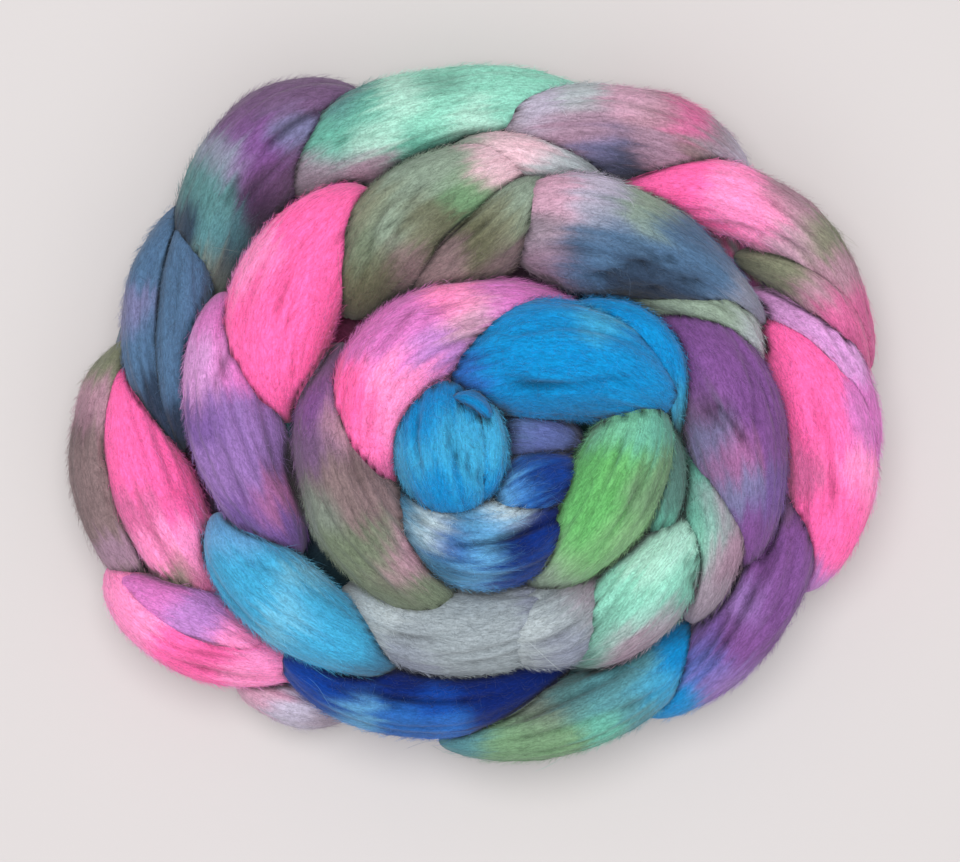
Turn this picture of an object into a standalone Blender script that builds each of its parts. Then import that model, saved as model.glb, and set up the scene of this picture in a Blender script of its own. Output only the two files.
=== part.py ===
"""A coiled wool roving braid: one hand-dyed roving, chain-plaited and wound into a flat coil.

The coil lies on its back. +Z is the normal of its face, +X its long side, and the origin is at the middle
of what it rests on. Every fold of the plait that shows is one row of FOLDS, named for its dye and its place
in the coil, from the tail to the knot in the middle. All sizes are in millimetres and are turned into metres
as the meshes are made.
"""

import math
from typing import NamedTuple

import bmesh
import bpy
from mathutils import Vector

MM = 0.001
NODE_NAME = "wool_roving_coil"


class Fold(NamedTuple):
    """One fold of the plait: a leaf-shaped swelling along a curved line."""

    name: str
    start: tuple  # x, y, z of the end nearer the tail
    middle: tuple  # x, y, z half-way along, which the line passes through
    end: tuple  # x, y, z of the end nearer the knot
    half_width: float  # across the line, level with the face
    half_height: float  # across the line, square to the face
    widest_at: float  # share of the length at which the fold is widest
    fullness: float  # 1 tapers to fine points, 0.5 is an ellipse, less is blunter


FOLDS = (
    Fold("tail", (-68, -77, 20), (-54, -84, 19), (-37, -88, 17), 6, 9, 0.5, 0.5),
    Fold("blush_low", (-102, -46, 29), (-81, -64, 31), (-51, -73, 28), 10.5, 14, 0.45, 0.5),
    Fold("lilac_low", (-101, -48, 32), (-79, -56, 36), (-57, -69, 31), 7, 10, 0.45, 0.5),
    Fold("umber_left", (-100, 18, 27), (-106, -17, 29), (-90, -53, 27), 9.5, 13, 0.55, 0.48),
    Fold("fuchsia_left", (-100, 11, 31), (-91, -23, 33), (-74, -55, 28), 11.5, 15, 0.55, 0.5),
    Fold("slate_left_outer", (-83, 56, 34), (-92, 24, 35), (-85, -10, 34), 7.5, 11, 0.5, 0.48),
    Fold("slate_left_inner", (-81, 53, 35), (-82, 24, 37), (-83, -8, 35), 8.5, 12, 0.45, 0.5),
    Fold("plum_top", (-78, 32, 30), (-64, 69, 33), (-35, 88, 29), 14.5, 18, 0.5, 0.5),
    Fold("mint_top", (-50, 67, 32), (-14, 81, 35), (28, 88, 27), 14.5, 17, 0.4, 0.42),
    Fold("mauve_top", (2, 76, 33), (41, 78, 35), (75, 67, 28), 13.5, 17, 0.5, 0.5),
    Fold("pink_right", (45, 62, 38), (85, 53, 38), (111, 17, 31), 10, 14, 0.38, 0.48),
    Fold("pink_right_band", (77, 43, 33), (97, 31, 38), (110, 8, 32), 6.5, 10, 0.45, 0.48),
    Fold("fuchsia_right_band", (80, 32, 32), (102, 13, 36), (110, -20, 33), 8, 11, 0.45, 0.5),
    Fold("fuchsia_right", (83, 26, 30), (99, -7, 36), (96, -47, 29), 13, 17, 0.5, 0.5),
    Fold("violet_low", (91, -22, 29), (78, -55, 36), (53, -84, 30), 11.5, 15, 0.5, 0.5),
    Fold("teal_low", (61, -63, 36), (32, -84, 36), (-6, -94, 32), 10.5, 14, 0.45, 0.5),
    Fold("royal_low", (23, -74, 36), (-17, -82, 37), (-52, -71, 36), 10.5, 13, 0.5, 0.5),
    Fold("cyan_low", (-70, -33, 42), (-52, -53, 50), (-25, -70, 45), 12, 15, 0.45, 0.46),
    Fold("violet_left", (-70, 29, 44), (-66, -6, 50), (-51, -38, 47), 13, 16, 0.5, 0.46),
    Fold("hot_pink", (-54, -1, 46), (-52, 30, 52), (-32, 58, 49), 15.5, 18, 0.5, 0.46),
    Fold("olive_top", (-34, 29, 47), (-17, 52, 50), (14, 68, 46), 15, 18, 0.45, 0.5),
    Fold("olive_top_inner", (-18, 33, 48), (2, 46, 52), (18, 62, 48), 10.5, 14, 0.5, 0.42),
    Fold("olive_top_band", (-8, 71, 44), (13, 70, 45), (36, 64, 40), 6, 9, 0.5, 0.5),
    Fold("slate_right", (14, 49, 45), (42, 46, 50), (78, 27, 43), 16, 19, 0.32, 0.6),
    Fold("slate_right_band", (44, 32, 43), (64, 28, 46), (79, 15, 41), 7, 11, 0.5, 0.5),
    Fold("purple_right", (55, 25, 43), (71, -3, 49), (75, -42, 44), 14, 17, 0.45, 0.5),
    Fold("mint_low_band", (61, -12, 43), (66, -33, 48), (61, -57, 46), 9, 12, 0.5, 0.5),
    Fold("mint_low", (60, -31, 46), (46, -51, 51), (28, -68, 47), 11.5, 15, 0.5, 0.46),
    Fold("grey_low", (-34, -53, 42), (-2, -61, 47), (33, -52, 45), 12.5, 16, 0.45, 0.45),
    Fold("grey_low_end", (3, -61, 45), (21, -60, 49), (34, -49, 45), 11.5, 15, 0.55, 0.5),
    Fold("olive_left", (-38, 14, 48), (-34, -24, 57), (-7, -55, 52), 13, 16, 0.5, 0.46),
    Fold("pink_inner", (-24, -25, 53), (-20, 13, 59), (25, 26, 54), 14, 17, 0.5, 0.46),
    Fold("azure_inner", (-7, 9, 55), (24, 13, 60), (54, 2, 53), 16.5, 19, 0.45, 0.48),
    Fold("azure_inner_band", (27, 27, 55), (48, 18, 58), (55, -7, 52), 6.5, 9, 0.5, 0.5),
    Fold("lime_inner_band", (47, 2, 48), (52, -17, 53), (49, -37, 48), 6, 9, 0.5, 0.5),
    Fold("lime_inner", (46, 3, 52), (38, -21, 57), (18, -47, 51), 13.5, 17, 0.5, 0.5),
    Fold("blue_inner", (-25, -22, 53), (2, -36, 59), (27, -24, 53), 13, 16, 0.5, 0.5),
    Fold("blue_inner_corner", (4, -29, 56), (16, -22, 58), (28, -18, 53), 9.5, 13, 0.5, 0.45),
    Fold("periwinkle_tuck", (3, -6, 52), (15, -6, 55), (28, -9, 51), 8, 11, 0.5, 0.5),
    Fold("cyan_knot", (-8, 6, 59), (-7, -11, 62), (-3, -28, 59), 15, 18, 0.5, 0.45),
    Fold("cyan_knot_side", (0, 4, 65), (4, -10, 68), (0, -26, 65), 5.5, 8, 0.5, 0.5),
    Fold("cyan_knot_curl", (-5, 3, 70), (0, 2, 72), (4, -2, 69), 2.5, 6, 0.5, 0.5),
    Fold("teal_tuck", (-52, 5, 39), (-53, -4, 41), (-50, -13, 39), 4, 7, 0.5, 0.5),
)


class BackRing(NamedTuple):
    """One ring of slanting folds on the coil's hidden back."""

    name: str
    count: int
    reach_x: float  # from the middle to the folds' middles
    reach_y: float
    span: float  # degrees of the ring that one fold takes up
    lean: float  # how far each fold runs outwards from its middle to its end


BACK_RINGS = (
    BackRing("back_outer", 16, 93.0, 77.0, 38.0, 7.0),
    BackRing("back_second", 11, 64.0, 50.0, 54.0, 8.0),
    BackRing("back_first", 6, 33.0, 24.0, 92.0, 8.0),
)
BACK_LOW_Z = 8.0
BACK_HIGH_Z = 15.0
BACK_HALF_WIDTH = 12.0
BACK_HALF_HEIGHT = 13.0
BACK_KNOT_HALF_LENGTH = 20.0

# The inner turns that no fold shows, as a low dome: share of its reach, and height.
CORE_REACH_X = 92.0
CORE_REACH_Y = 76.0
CORE_PROFILE = ((0.94, 4.0), (1.0, 12.0), (0.9, 26.0), (0.68, 36.0), (0.4, 44.0), (0.2, 46.0))
CORE_SIDES = 32

# Moves the middle of the coil's footprint onto the origin.
CENTRE_SHIFT_X = 0.5
CENTRE_SHIFT_Y = 1.1

FACE_SIDES = 10
FACE_STEPS = 8
BACK_SIDES = 8
BACK_STEPS = 6
HEIGHT_TAPER = 0.8
END_REACH = 0.05  # how far a fold runs on past each end of its line, as a share of its length
END_TUCK = 5.0  # how far the ends of its line dip under its neighbours
FLAT_ANGLE = math.radians(6.0)  # neighbouring faces this near to level are joined into one
SHARP_ANGLE = math.radians(50.0)
FLOOR_CUT_DEPTH = 40.0
FLOOR_CUT_WIDTH = 400.0


def line_point(fold, share):
    """Return the point and the direction of a fold's line at a share of its length.

    The line runs on past both its ends a little, and dips towards them.
    """
    share = (1.0 + 2.0 * END_REACH) * share - END_REACH
    start, middle, end = (Vector(point) for point in (fold.start, fold.middle, fold.end))
    pull = 2.0 * middle - 0.5 * (start + end)
    rest = 1.0 - share
    point = rest * rest * start + 2.0 * rest * share * pull + share * share * end
    point.z -= END_TUCK * (2.0 * share - 1.0) ** 4
    direction = 2.0 * rest * (pull - start) + 2.0 * share * (end - pull)
    return point, direction.normalized()


def swelling(fold, share):
    """Return how full a fold is at a share of its length: 0 at its ends, 1 where it is widest."""
    skew = math.log(0.5) / math.log(fold.widest_at)
    return math.sin(math.pi * share ** skew) ** fold.fullness


def fold_rings(mesh, fold, sides, steps):
    """Add the rings of corners around a fold's line to a bmesh, from its start to its end."""
    rings = []
    for step in range(1, steps):
        share = 0.5 - 0.5 * math.cos(math.pi * step / steps)
        centre, direction = line_point(fold, share)
        across = Vector((-direction.y, direction.x, 0.0)).normalized()
        upward = direction.cross(across)
        full = swelling(fold, share)
        width = fold.half_width * full
        height = fold.half_height * full ** HEIGHT_TAPER
        ring = []
        for side in range(sides):
            turn = 2.0 * math.pi * side / sides
            offset = across * (width * math.cos(turn)) + upward * (height * math.sin(turn))
            ring.append(mesh.verts.new((centre + offset) * MM))
        rings.append(ring)
    return rings


def bridge_rings(mesh, rings):
    """Join each ring of corners to the next with a band of faces."""
    for near, far in zip(rings, rings[1:]):
        for side in range(len(near)):
            following = (side + 1) % len(near)
            mesh.faces.new((near[side], far[side], far[following], near[following]))


def add_fold(mesh, fold, sides, steps):
    """Add one fold to a bmesh as a closed, leaf-shaped body."""
    rings = fold_rings(mesh, fold, sides, steps)
    bridge_rings(mesh, rings)
    start_tip, end_tip = (mesh.verts.new(line_point(fold, share)[0] * MM) for share in (0.0, 1.0))
    for side in range(sides):
        following = (side + 1) % sides
        mesh.faces.new((start_tip, rings[0][side], rings[0][following]))
        mesh.faces.new((end_tip, rings[-1][following], rings[-1][side]))


def ring_place(ring, angle, lean, height):
    """Return the point of a back ring at an angle, moved outwards by a lean."""
    return ((ring.reach_x + lean) * math.cos(angle), (ring.reach_y + lean) * math.sin(angle), height)


def back_folds():
    """Return the folds of the coil's hidden back: slanting ones ring by ring, and a middle one."""
    folds = []
    middle_z = 0.5 * (BACK_LOW_Z + BACK_HIGH_Z)
    for ring in BACK_RINGS:
        half_span = math.radians(0.5 * ring.span)
        for index in range(ring.count):
            angle = 2.0 * math.pi * index / ring.count
            start = ring_place(ring, angle - half_span, -ring.lean, BACK_LOW_Z)
            middle = ring_place(ring, angle, 0.0, middle_z)
            end = ring_place(ring, angle + half_span, ring.lean, BACK_HIGH_Z)
            name = f"{ring.name}_{index + 1:02d}"
            folds.append(Fold(name, start, middle, end, BACK_HALF_WIDTH, BACK_HALF_HEIGHT, 0.5, 0.5))
    start = (-BACK_KNOT_HALF_LENGTH, 0.0, BACK_LOW_Z)
    end = (BACK_KNOT_HALF_LENGTH, 0.0, BACK_LOW_Z)
    folds.append(
        Fold("back_knot", start, (0.0, 0.0, BACK_LOW_Z), end, BACK_HALF_WIDTH, BACK_HALF_HEIGHT, 0.5, 0.5)
    )
    return folds


def new_object(name, mesh):
    """Turn a bmesh into an object in the scene, its faces pointing out."""
    bmesh.ops.recalc_face_normals(mesh, faces=mesh.faces)
    data = bpy.data.meshes.new(name)
    mesh.to_mesh(data)
    mesh.free()
    item = bpy.data.objects.new(name, data)
    bpy.context.scene.collection.objects.link(item)
    return item


def make_guide(item):
    """Mark an object as a guide for a Boolean, which isn't part of the model."""
    item.hide_render = True
    item.display_type = "WIRE"


def make_core():
    """Make the dome of the turns that no fold shows."""
    mesh = bmesh.new()
    rings = []
    for share, height in CORE_PROFILE:
        ring = []
        for side in range(CORE_SIDES):
            turn = 2.0 * math.pi * side / CORE_SIDES
            place = Vector((CORE_REACH_X * math.cos(turn), CORE_REACH_Y * math.sin(turn), 0.0)) * share
            place.z = height
            ring.append(mesh.verts.new(place * MM))
        rings.append(ring)
    bridge_rings(mesh, rings)
    mesh.faces.new(rings[0])
    mesh.faces.new(rings[-1])
    return new_object(NODE_NAME, mesh)


def make_fold_guides(folds, sides, steps, collection):
    """Make each fold as a guide body in a collection, ready to be joined to the core."""
    for fold in folds:
        mesh = bmesh.new()
        add_fold(mesh, fold, sides, steps)
        guide = new_object(f"guide_{fold.name}", mesh)
        bpy.context.scene.collection.objects.unlink(guide)
        collection.objects.link(guide)
        make_guide(guide)


def make_floor_cutter():
    """Make the block that trims the coil level where it rests."""
    mesh = bmesh.new()
    size = Vector((FLOOR_CUT_WIDTH, FLOOR_CUT_WIDTH, FLOOR_CUT_DEPTH)) * MM
    bmesh.ops.create_cube(mesh, size=1.0)
    bmesh.ops.scale(mesh, vec=size, verts=mesh.verts)
    bmesh.ops.translate(mesh, vec=Vector((0.0, 0.0, -0.5 * size.z)), verts=mesh.verts)
    cutter = new_object("guide_floor", mesh)
    make_guide(cutter)
    return cutter


def join_folds(core, collection, cutter):
    """Join the folds to the core, trim the coil level and keep the outcome as the core's mesh."""
    union = core.modifiers.new("folds", "BOOLEAN")
    union.operation = "UNION"
    union.operand_type = "COLLECTION"
    union.collection = collection
    union.solver = "EXACT"
    trim = core.modifiers.new("floor", "BOOLEAN")
    trim.operation = "DIFFERENCE"
    trim.object = cutter
    trim.solver = "EXACT"
    bpy.context.view_layer.update()
    evaluated = core.evaluated_get(bpy.context.evaluated_depsgraph_get())
    joined = bpy.data.meshes.new_from_object(evaluated)
    core.modifiers.clear()
    core.data = joined
    for guide in (*collection.objects, cutter):
        bpy.data.objects.remove(guide)
    bpy.data.collections.remove(collection)


def shell_of(face, left):
    """Take out of a set, and return, the faces that are joined edge to edge with a face."""
    shell = []
    waiting = [face]
    left.discard(face)
    while waiting:
        current = waiting.pop()
        shell.append(current)
        for edge in current.edges:
            for neighbour in edge.link_faces:
                if neighbour in left:
                    left.discard(neighbour)
                    waiting.append(neighbour)
    return shell


def finish_skin(item):
    """Fill the pockets sealed between folds, join nearly level faces and centre the coil."""
    mesh = bmesh.new()
    mesh.from_mesh(item.data)
    left = set(mesh.faces)
    shells = []
    while left:
        shells.append(shell_of(next(iter(left)), left))
    shells.sort(key=len)
    pockets = [face for shell in shells[:-1] for face in shell]
    bmesh.ops.delete(mesh, geom=pockets, context="FACES")
    bmesh.ops.dissolve_limit(mesh, angle_limit=FLAT_ANGLE, verts=mesh.verts, edges=mesh.edges)
    bmesh.ops.translate(mesh, vec=Vector((CENTRE_SHIFT_X, CENTRE_SHIFT_Y, 0.0)) * MM, verts=mesh.verts)
    bmesh.ops.triangulate(mesh, faces=mesh.faces)
    mesh.to_mesh(item.data)
    mesh.free()
    item.data.shade_smooth()
    item.data.set_sharp_from_angle(angle=SHARP_ANGLE)


def wool_material():
    """Return the plain colour of the dyed wool."""
    material = bpy.data.materials.new("dyed_wool")
    material.use_nodes = True
    shader = material.node_tree.nodes["Principled BSDF"]
    shader.inputs["Base Color"].default_value = (0.42, 0.33, 0.5, 1.0)
    shader.inputs["Roughness"].default_value = 0.95
    shader.inputs["Metallic"].default_value = 0.0
    return material


def main():
    """Build the coil."""
    for item in list(bpy.data.objects):
        bpy.data.objects.remove(item)
    guides = bpy.data.collections.new("guides")
    bpy.context.scene.collection.children.link(guides)
    core = make_core()
    make_fold_guides(FOLDS, FACE_SIDES, FACE_STEPS, guides)
    make_fold_guides(back_folds(), BACK_SIDES, BACK_STEPS, guides)
    join_folds(core, guides, make_floor_cutter())
    finish_skin(core)
    core.data.materials.append(wool_material())


main()
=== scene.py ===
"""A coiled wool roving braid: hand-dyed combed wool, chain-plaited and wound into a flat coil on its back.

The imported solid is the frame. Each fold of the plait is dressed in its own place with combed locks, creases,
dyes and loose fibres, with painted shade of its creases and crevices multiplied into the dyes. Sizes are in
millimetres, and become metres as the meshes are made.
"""

import logging
import math
from dataclasses import dataclass, field
from enum import Enum

import bmesh
import bpy
import numpy as np
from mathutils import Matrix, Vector
from mathutils.bvhtree import BVHTree


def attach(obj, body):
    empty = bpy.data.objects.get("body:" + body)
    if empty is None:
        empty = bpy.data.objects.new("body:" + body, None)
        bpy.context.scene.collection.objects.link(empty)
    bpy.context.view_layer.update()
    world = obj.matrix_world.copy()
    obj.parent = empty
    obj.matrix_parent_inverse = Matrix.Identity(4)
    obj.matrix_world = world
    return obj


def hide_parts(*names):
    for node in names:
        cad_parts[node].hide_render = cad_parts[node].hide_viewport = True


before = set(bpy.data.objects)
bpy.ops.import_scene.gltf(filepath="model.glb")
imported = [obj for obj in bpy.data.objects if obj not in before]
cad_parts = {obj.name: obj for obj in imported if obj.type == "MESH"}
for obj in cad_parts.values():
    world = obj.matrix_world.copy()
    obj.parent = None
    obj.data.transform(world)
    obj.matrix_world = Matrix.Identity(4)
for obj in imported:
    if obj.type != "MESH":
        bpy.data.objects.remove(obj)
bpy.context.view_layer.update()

Array = np.ndarray
Point = tuple[float, float, float]
Place = tuple[float, float]

MM = 0.001
SOLID_NODE = "wool_roving_coil"
BODY = "root"
# The colour layer holds each dye with the painted shade of creases, crevices and the core multiplied in, and
# for loose fibres also their painted light and sheen.
DYE_LIGHT_AND_SHADE_LAYER = "dye"
FIBRE_MAP = "fibres"
CELL_MAP = "OFBake"
CENTRE_SHIFT = np.array((0.5, 1.1, 0.0))  # from the tables' places to the part's own
HEIGHT_TAPER = 0.8  # the power of its swelling by which a fold's height falls; its width falls by the first
END_REACH = 0.05  # how far each fold's line runs on past its ends, as a share of its length
END_TUCK = 5.0  # how far its ends dip under their neighbours
DYE_DEPTH = 0.96  # the dyes' strength in the studio's light, against plain daylight
DYE_LIMIT = 0.96  # the palest that wool gets
SPOT_REACH = 5.2  # how softly one dye runs into the next on the face
DEEP_SPOT_REACH = 9.0  # the same on the back and deep inside the coil
CREVICE_CLOSED = 0.53  # the openness at which the shade painted on wool between folds is darkest
CREVICE_OPEN = 0.89  # the openness from which it has no painted shade and its full colour
CREVICE_SHADE = 0.05  # painted shade: how much of its colour the darkest wool between folds keeps
BACK_SHADE = 0.5  # the same painted crevice shade for the back, whose skin is coarser
SOFT_SHADES = {  # the same painted crevice shade, kept fainter, for folds that run softly into the fold beside them
    "grey_low": 0.75, "grey_low_end": 0.85, "olive_top_band": 0.5, "blush_low": 0.4, "lilac_low": 0.4,
}
CORE_SHADE = 0.14  # painted shade: how much of its colour the wool deep inside the coil keeps, so that the gaps between folds look dark
CREASE_SHADE = 0.36  # painted shade: how much darker the wool is painted for each millimetre that it lies in a crease
CREASE_BEGIN = 0.3  # how far below the smooth skin a crease's painted shade begins
CREASE_LEAST = 0.4  # how much of its colour the deepest crease keeps under its painted shade
SEAM = 1e-6 - math.pi / 2.0  # the angle at which a fold's fibre map begins, just past straight down
SEED_STEP = 10  # from one fold's seed to the next one's
FIBRE_SEED = 7  # from a group's seed to its fibres'
FOLD_ENDS = (0.004, 0.996)  # the shares of a fold's length just short of its points
RAY_AXIS = np.array((0.23, 0.11, 0.97))  # a direction that no skin faces exactly
SPINDLE_AXIS = np.array((0.31, 0.2, 0.93))  # a direction that no fibre takes exactly
POLE = 1e-4  # how near its axis a corner point of a ball is one of its poles

log = logging.getLogger("roving")


class Dye(Enum):
    """The dyes of the roving, as they look in plain daylight: red, green and blue out of 255."""

    HOT_PINK = (255, 106, 174)
    PINK = (255, 145, 198)
    ROSE = (208, 104, 154)
    PALE_PINK = (222, 186, 198)
    DUSTY_PINK = (198, 156, 178)
    DUSK_ROSE = (160, 100, 148)
    ORCHID = (212, 122, 192)
    LILAC = (188, 130, 198)
    LAVENDER = (208, 150, 206)
    PALE_LAVENDER = (184, 176, 196)
    VIOLET = (144, 110, 172)
    DEEP_VIOLET = (114, 84, 148)
    PURPLE = (122, 78, 140)
    PLUM = (114, 86, 122)
    DARK_PLUM = (80, 56, 90)
    DUSK = (118, 118, 156)
    MAUVE = (156, 126, 146)
    GREY_MAUVE = (154, 140, 154)
    DUSTY_MAUVE = (170, 132, 148)
    UMBER = (128, 108, 110)
    OLIVE = (124, 128, 106)
    DARK_OLIVE = (96, 98, 76)
    OLIVE_GREY = (120, 130, 120)
    SAGE = (138, 156, 140)
    MOSS = (108, 120, 100)
    GREEN = (112, 148, 112)
    SEA_GREEN = (102, 172, 154)
    MINT = (140, 206, 186)
    PALE_MINT = (168, 214, 198)
    MINT_GREEN = (120, 190, 150)
    LIME = (98, 172, 100)
    PALE_LIME = (132, 176, 128)
    SEA_TEAL = (86, 130, 132)
    GREY_TEAL = (84, 122, 114)
    TEAL = (84, 138, 146)
    CYAN = (62, 160, 202)
    SKY = (100, 166, 212)
    PALE_SKY = (112, 182, 210)
    AZURE = (12, 134, 196)
    DEEP_AZURE = (14, 124, 184)
    BRIGHT_BLUE = (44, 106, 184)
    ROYAL = (14, 62, 148)
    NAVY = (10, 34, 104)
    INDIGO = (84, 100, 170)
    SEA_BLUE = (58, 116, 148)
    STEEL = (136, 142, 160)
    SLATE = (78, 108, 140)
    DARK_SLATE = (46, 60, 80)
    PERIWINKLE = (92, 104, 160)
    CREAM = (205, 222, 224)
    PALE_GREY = (174, 184, 188)
    GREY = (148, 158, 164)

    def albedo(self) -> tuple[float, float, float]:
        """Return the dye's own colour as linear red, green and blue."""
        linear = (((level / 255.0 + 0.055) / 1.055) ** 2.4 for level in self.value)
        return tuple(min(level * DYE_DEPTH, DYE_LIMIT) for level in linear)


Spot = tuple[float, float, Dye]


@dataclass(frozen=True)
class Crease:
    """A crease between two locks, as a bowed line seen from above.

    Its three places are its start, a place that it passes half-way along, and its end.
    """

    start: Place
    middle: Place
    end: Place
    depth: float
    half_width: float

    def beside(self, offset: float, begin: float, finish: float, strength: float) -> "Crease":
        """Return a fainter crease that runs beside a part of this one.

        Args:
            offset: how far to its left it runs.
            begin: the share of this crease's length at which it starts.
            finish: the share at which it ends.
            strength: its depth, as a share of this one's.

        Returns:
            The crease.
        """
        steps, fewest, narrower = 20, 2, 0.8
        line = self.line(steps + 1)
        ahead = unit(line[-1] - line[0])
        line = line + offset * np.array((-ahead[1], ahead[0]))
        first = round((steps - fewest) * begin)
        last = max(round(steps * finish), first + fewest)
        start, middle, end = (tuple(line[step]) for step in (first, (first + last) // 2, last))
        return Crease(start, middle, end, self.depth * strength, self.half_width * narrower)

    def line(self, steps: int = 28) -> Array:
        """Return places along the crease.

        Args:
            steps: how many places to return.

        Returns:
            The places, one row each.
        """
        return bowed((self.start, self.middle, self.end), np.linspace(0.0, 1.0, steps)[:, None])[0]


@dataclass(frozen=True)
class Fold:
    """One fold of the plait: a full, leaf-shaped swelling along a bowed line.

    widest_at is the share of its length at which it is fullest. fullness is 1 for fine points, and less for
    blunter ends.
    """

    name: str
    start: Point
    middle: Point
    end: Point
    half_width: float
    half_height: float
    widest_at: float = 0.5
    fullness: float = 0.5

    def length(self) -> float:
        """Return the length of the fold's line."""
        start, middle, end = (Vector(point) for point in (self.start, self.middle, self.end))
        return (middle - start).length + (end - middle).length

    def girth(self) -> float:
        """Return the way around the fold where it is fullest."""
        return math.pi * (self.half_width + self.half_height)

    def swelling(self, share: Array) -> Array:
        """Return how full the fold is at shares of its length, from 0 at its ends to 1."""
        skew = math.log(0.5) / math.log(self.widest_at)
        return np.maximum(np.sin(np.pi * np.clip(share, 0.0, 1.0) ** skew), 0.0) ** self.fullness

    def line(self, share: Array) -> tuple[Array, Array, Array, Array]:
        """Work out the fold's line at shares of its length.

        Args:
            share: the shares, from 0 at the start to 1 at the end.

        Returns:
            The points, and the unit directions along, across and upwards.
        """
        share = (1.0 + 2.0 * END_REACH) * np.asarray(share, float)[..., None] - END_REACH
        point, ahead = bowed((self.start, self.middle, self.end), share)
        point = point + CENTRE_SHIFT
        point[..., 2] -= END_TUCK * (2.0 * share[..., 0] - 1.0) ** 4
        along = unit(ahead)
        across = unit(np.stack((-along[..., 1], along[..., 0], np.zeros_like(along[..., 0])), -1))
        return point, along, across, np.cross(along, across)

    def skin(self, share: Array, turn: Array) -> Array:
        """Return the points of the fold's smooth skin.

        Args:
            share: shares of the length.
            turn: angles around the line, with a quarter turn straight up.

        Returns:
            The points, in millimetres.
        """
        point, _, across, upward = self.line(share)
        full = self.swelling(share)[..., None]
        turn = np.asarray(turn, float)[..., None]
        width = across * self.half_width * full * np.cos(turn)
        return point + width + upward * self.half_height * full**HEIGHT_TAPER * np.sin(turn)

    def outward(self, share: Array, turn: Array) -> Array:
        """Return the unit directions that point out of the smooth skin.

        Args:
            share: shares of the length.
            turn: angles around the line.

        Returns:
            The directions.
        """
        step = 0.002
        safe = np.clip(share, 2.0 * step, 1.0 - 2.0 * step)
        around = self.skin(safe, turn + step) - self.skin(safe, turn - step)
        onward = self.skin(safe + step, turn) - self.skin(safe - step, turn)
        return unit(np.cross(around, onward))


def unit(vectors: Array) -> Array:
    """Return vectors at length one."""
    return vectors / np.maximum(np.linalg.norm(vectors, axis=-1, keepdims=True), 1e-9)


def bowed(places: tuple[Point | Place, ...], share: Array) -> tuple[Array, Array]:
    """Follow a bowed line through three places.

    Args:
        places: its start, the place that it passes half-way along, and its end.
        share: the shares of the way along it.

    Returns:
        The points, and the directions in which they move on.
    """
    start, middle, end = (np.array(place, float) for place in places)
    pull = 2.0 * middle - 0.5 * (start + end)
    rest = 1.0 - share
    point = rest**2 * start + 2.0 * rest * share * pull + share**2 * end
    return point, 2.0 * rest * (pull - start) + 2.0 * share * (end - pull)


OUTER_FOLDS = (
    Fold("tail", (-68, -77, 20), (-54, -84, 19), (-37, -88, 17), 6, 9),
    Fold("blush_low", (-102, -46, 29), (-81, -64, 31), (-51, -73, 28), 10.5, 14, 0.45, 0.5),
    Fold("lilac_low", (-101, -49, 32), (-80, -57.5, 36), (-58, -70, 31), 7.5, 10, 0.45, 0.5),
    Fold("umber_left", (-100, 18, 27), (-106, -17, 29), (-90, -53, 27), 9.5, 13, 0.55, 0.48),
    Fold("fuchsia_left", (-100, 11, 31), (-91, -23, 33), (-74, -55, 28), 11.5, 15, 0.55, 0.5),
    Fold("slate_left_outer", (-83, 56, 34), (-92, 24, 35), (-85, -10, 34), 7.5, 11, 0.5, 0.48),
    Fold("slate_left_inner", (-81, 53, 35), (-82, 24, 37), (-83, -8, 35), 8.5, 12, 0.45, 0.5),
    Fold("plum_top", (-78, 32, 30), (-64, 69, 33), (-35, 88, 29), 14.5, 18),
    Fold("mint_top", (-50, 67, 32), (-14, 81, 35), (28, 88, 27), 14.5, 17, 0.4, 0.42),
    Fold("mauve_top", (2, 76, 33), (41, 78, 35), (75, 67, 28), 13.5, 17),
    Fold("pink_right", (45, 62, 38), (85, 53, 38), (111, 17, 31), 10, 14, 0.38, 0.48),
    Fold("pink_right_band", (77, 43, 33), (97, 31, 38), (110, 8, 32), 6.5, 10, 0.45, 0.48),
    Fold("fuchsia_right_band", (80, 32, 32), (102, 13, 36), (110, -20, 33), 8, 11, 0.45, 0.5),
    Fold("fuchsia_right", (83, 26, 30), (99, -7, 36), (96, -47, 29), 13, 17),
    Fold("violet_low", (91, -22, 29), (78, -55, 36), (53, -84, 30), 11.5, 15),
    Fold("teal_low", (61, -63, 36), (32, -84, 36), (-6, -94, 32), 10.5, 14, 0.45, 0.5),
    Fold("royal_low", (23, -74, 36), (-17, -82, 37), (-52, -71, 36), 10.5, 13),
)
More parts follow.
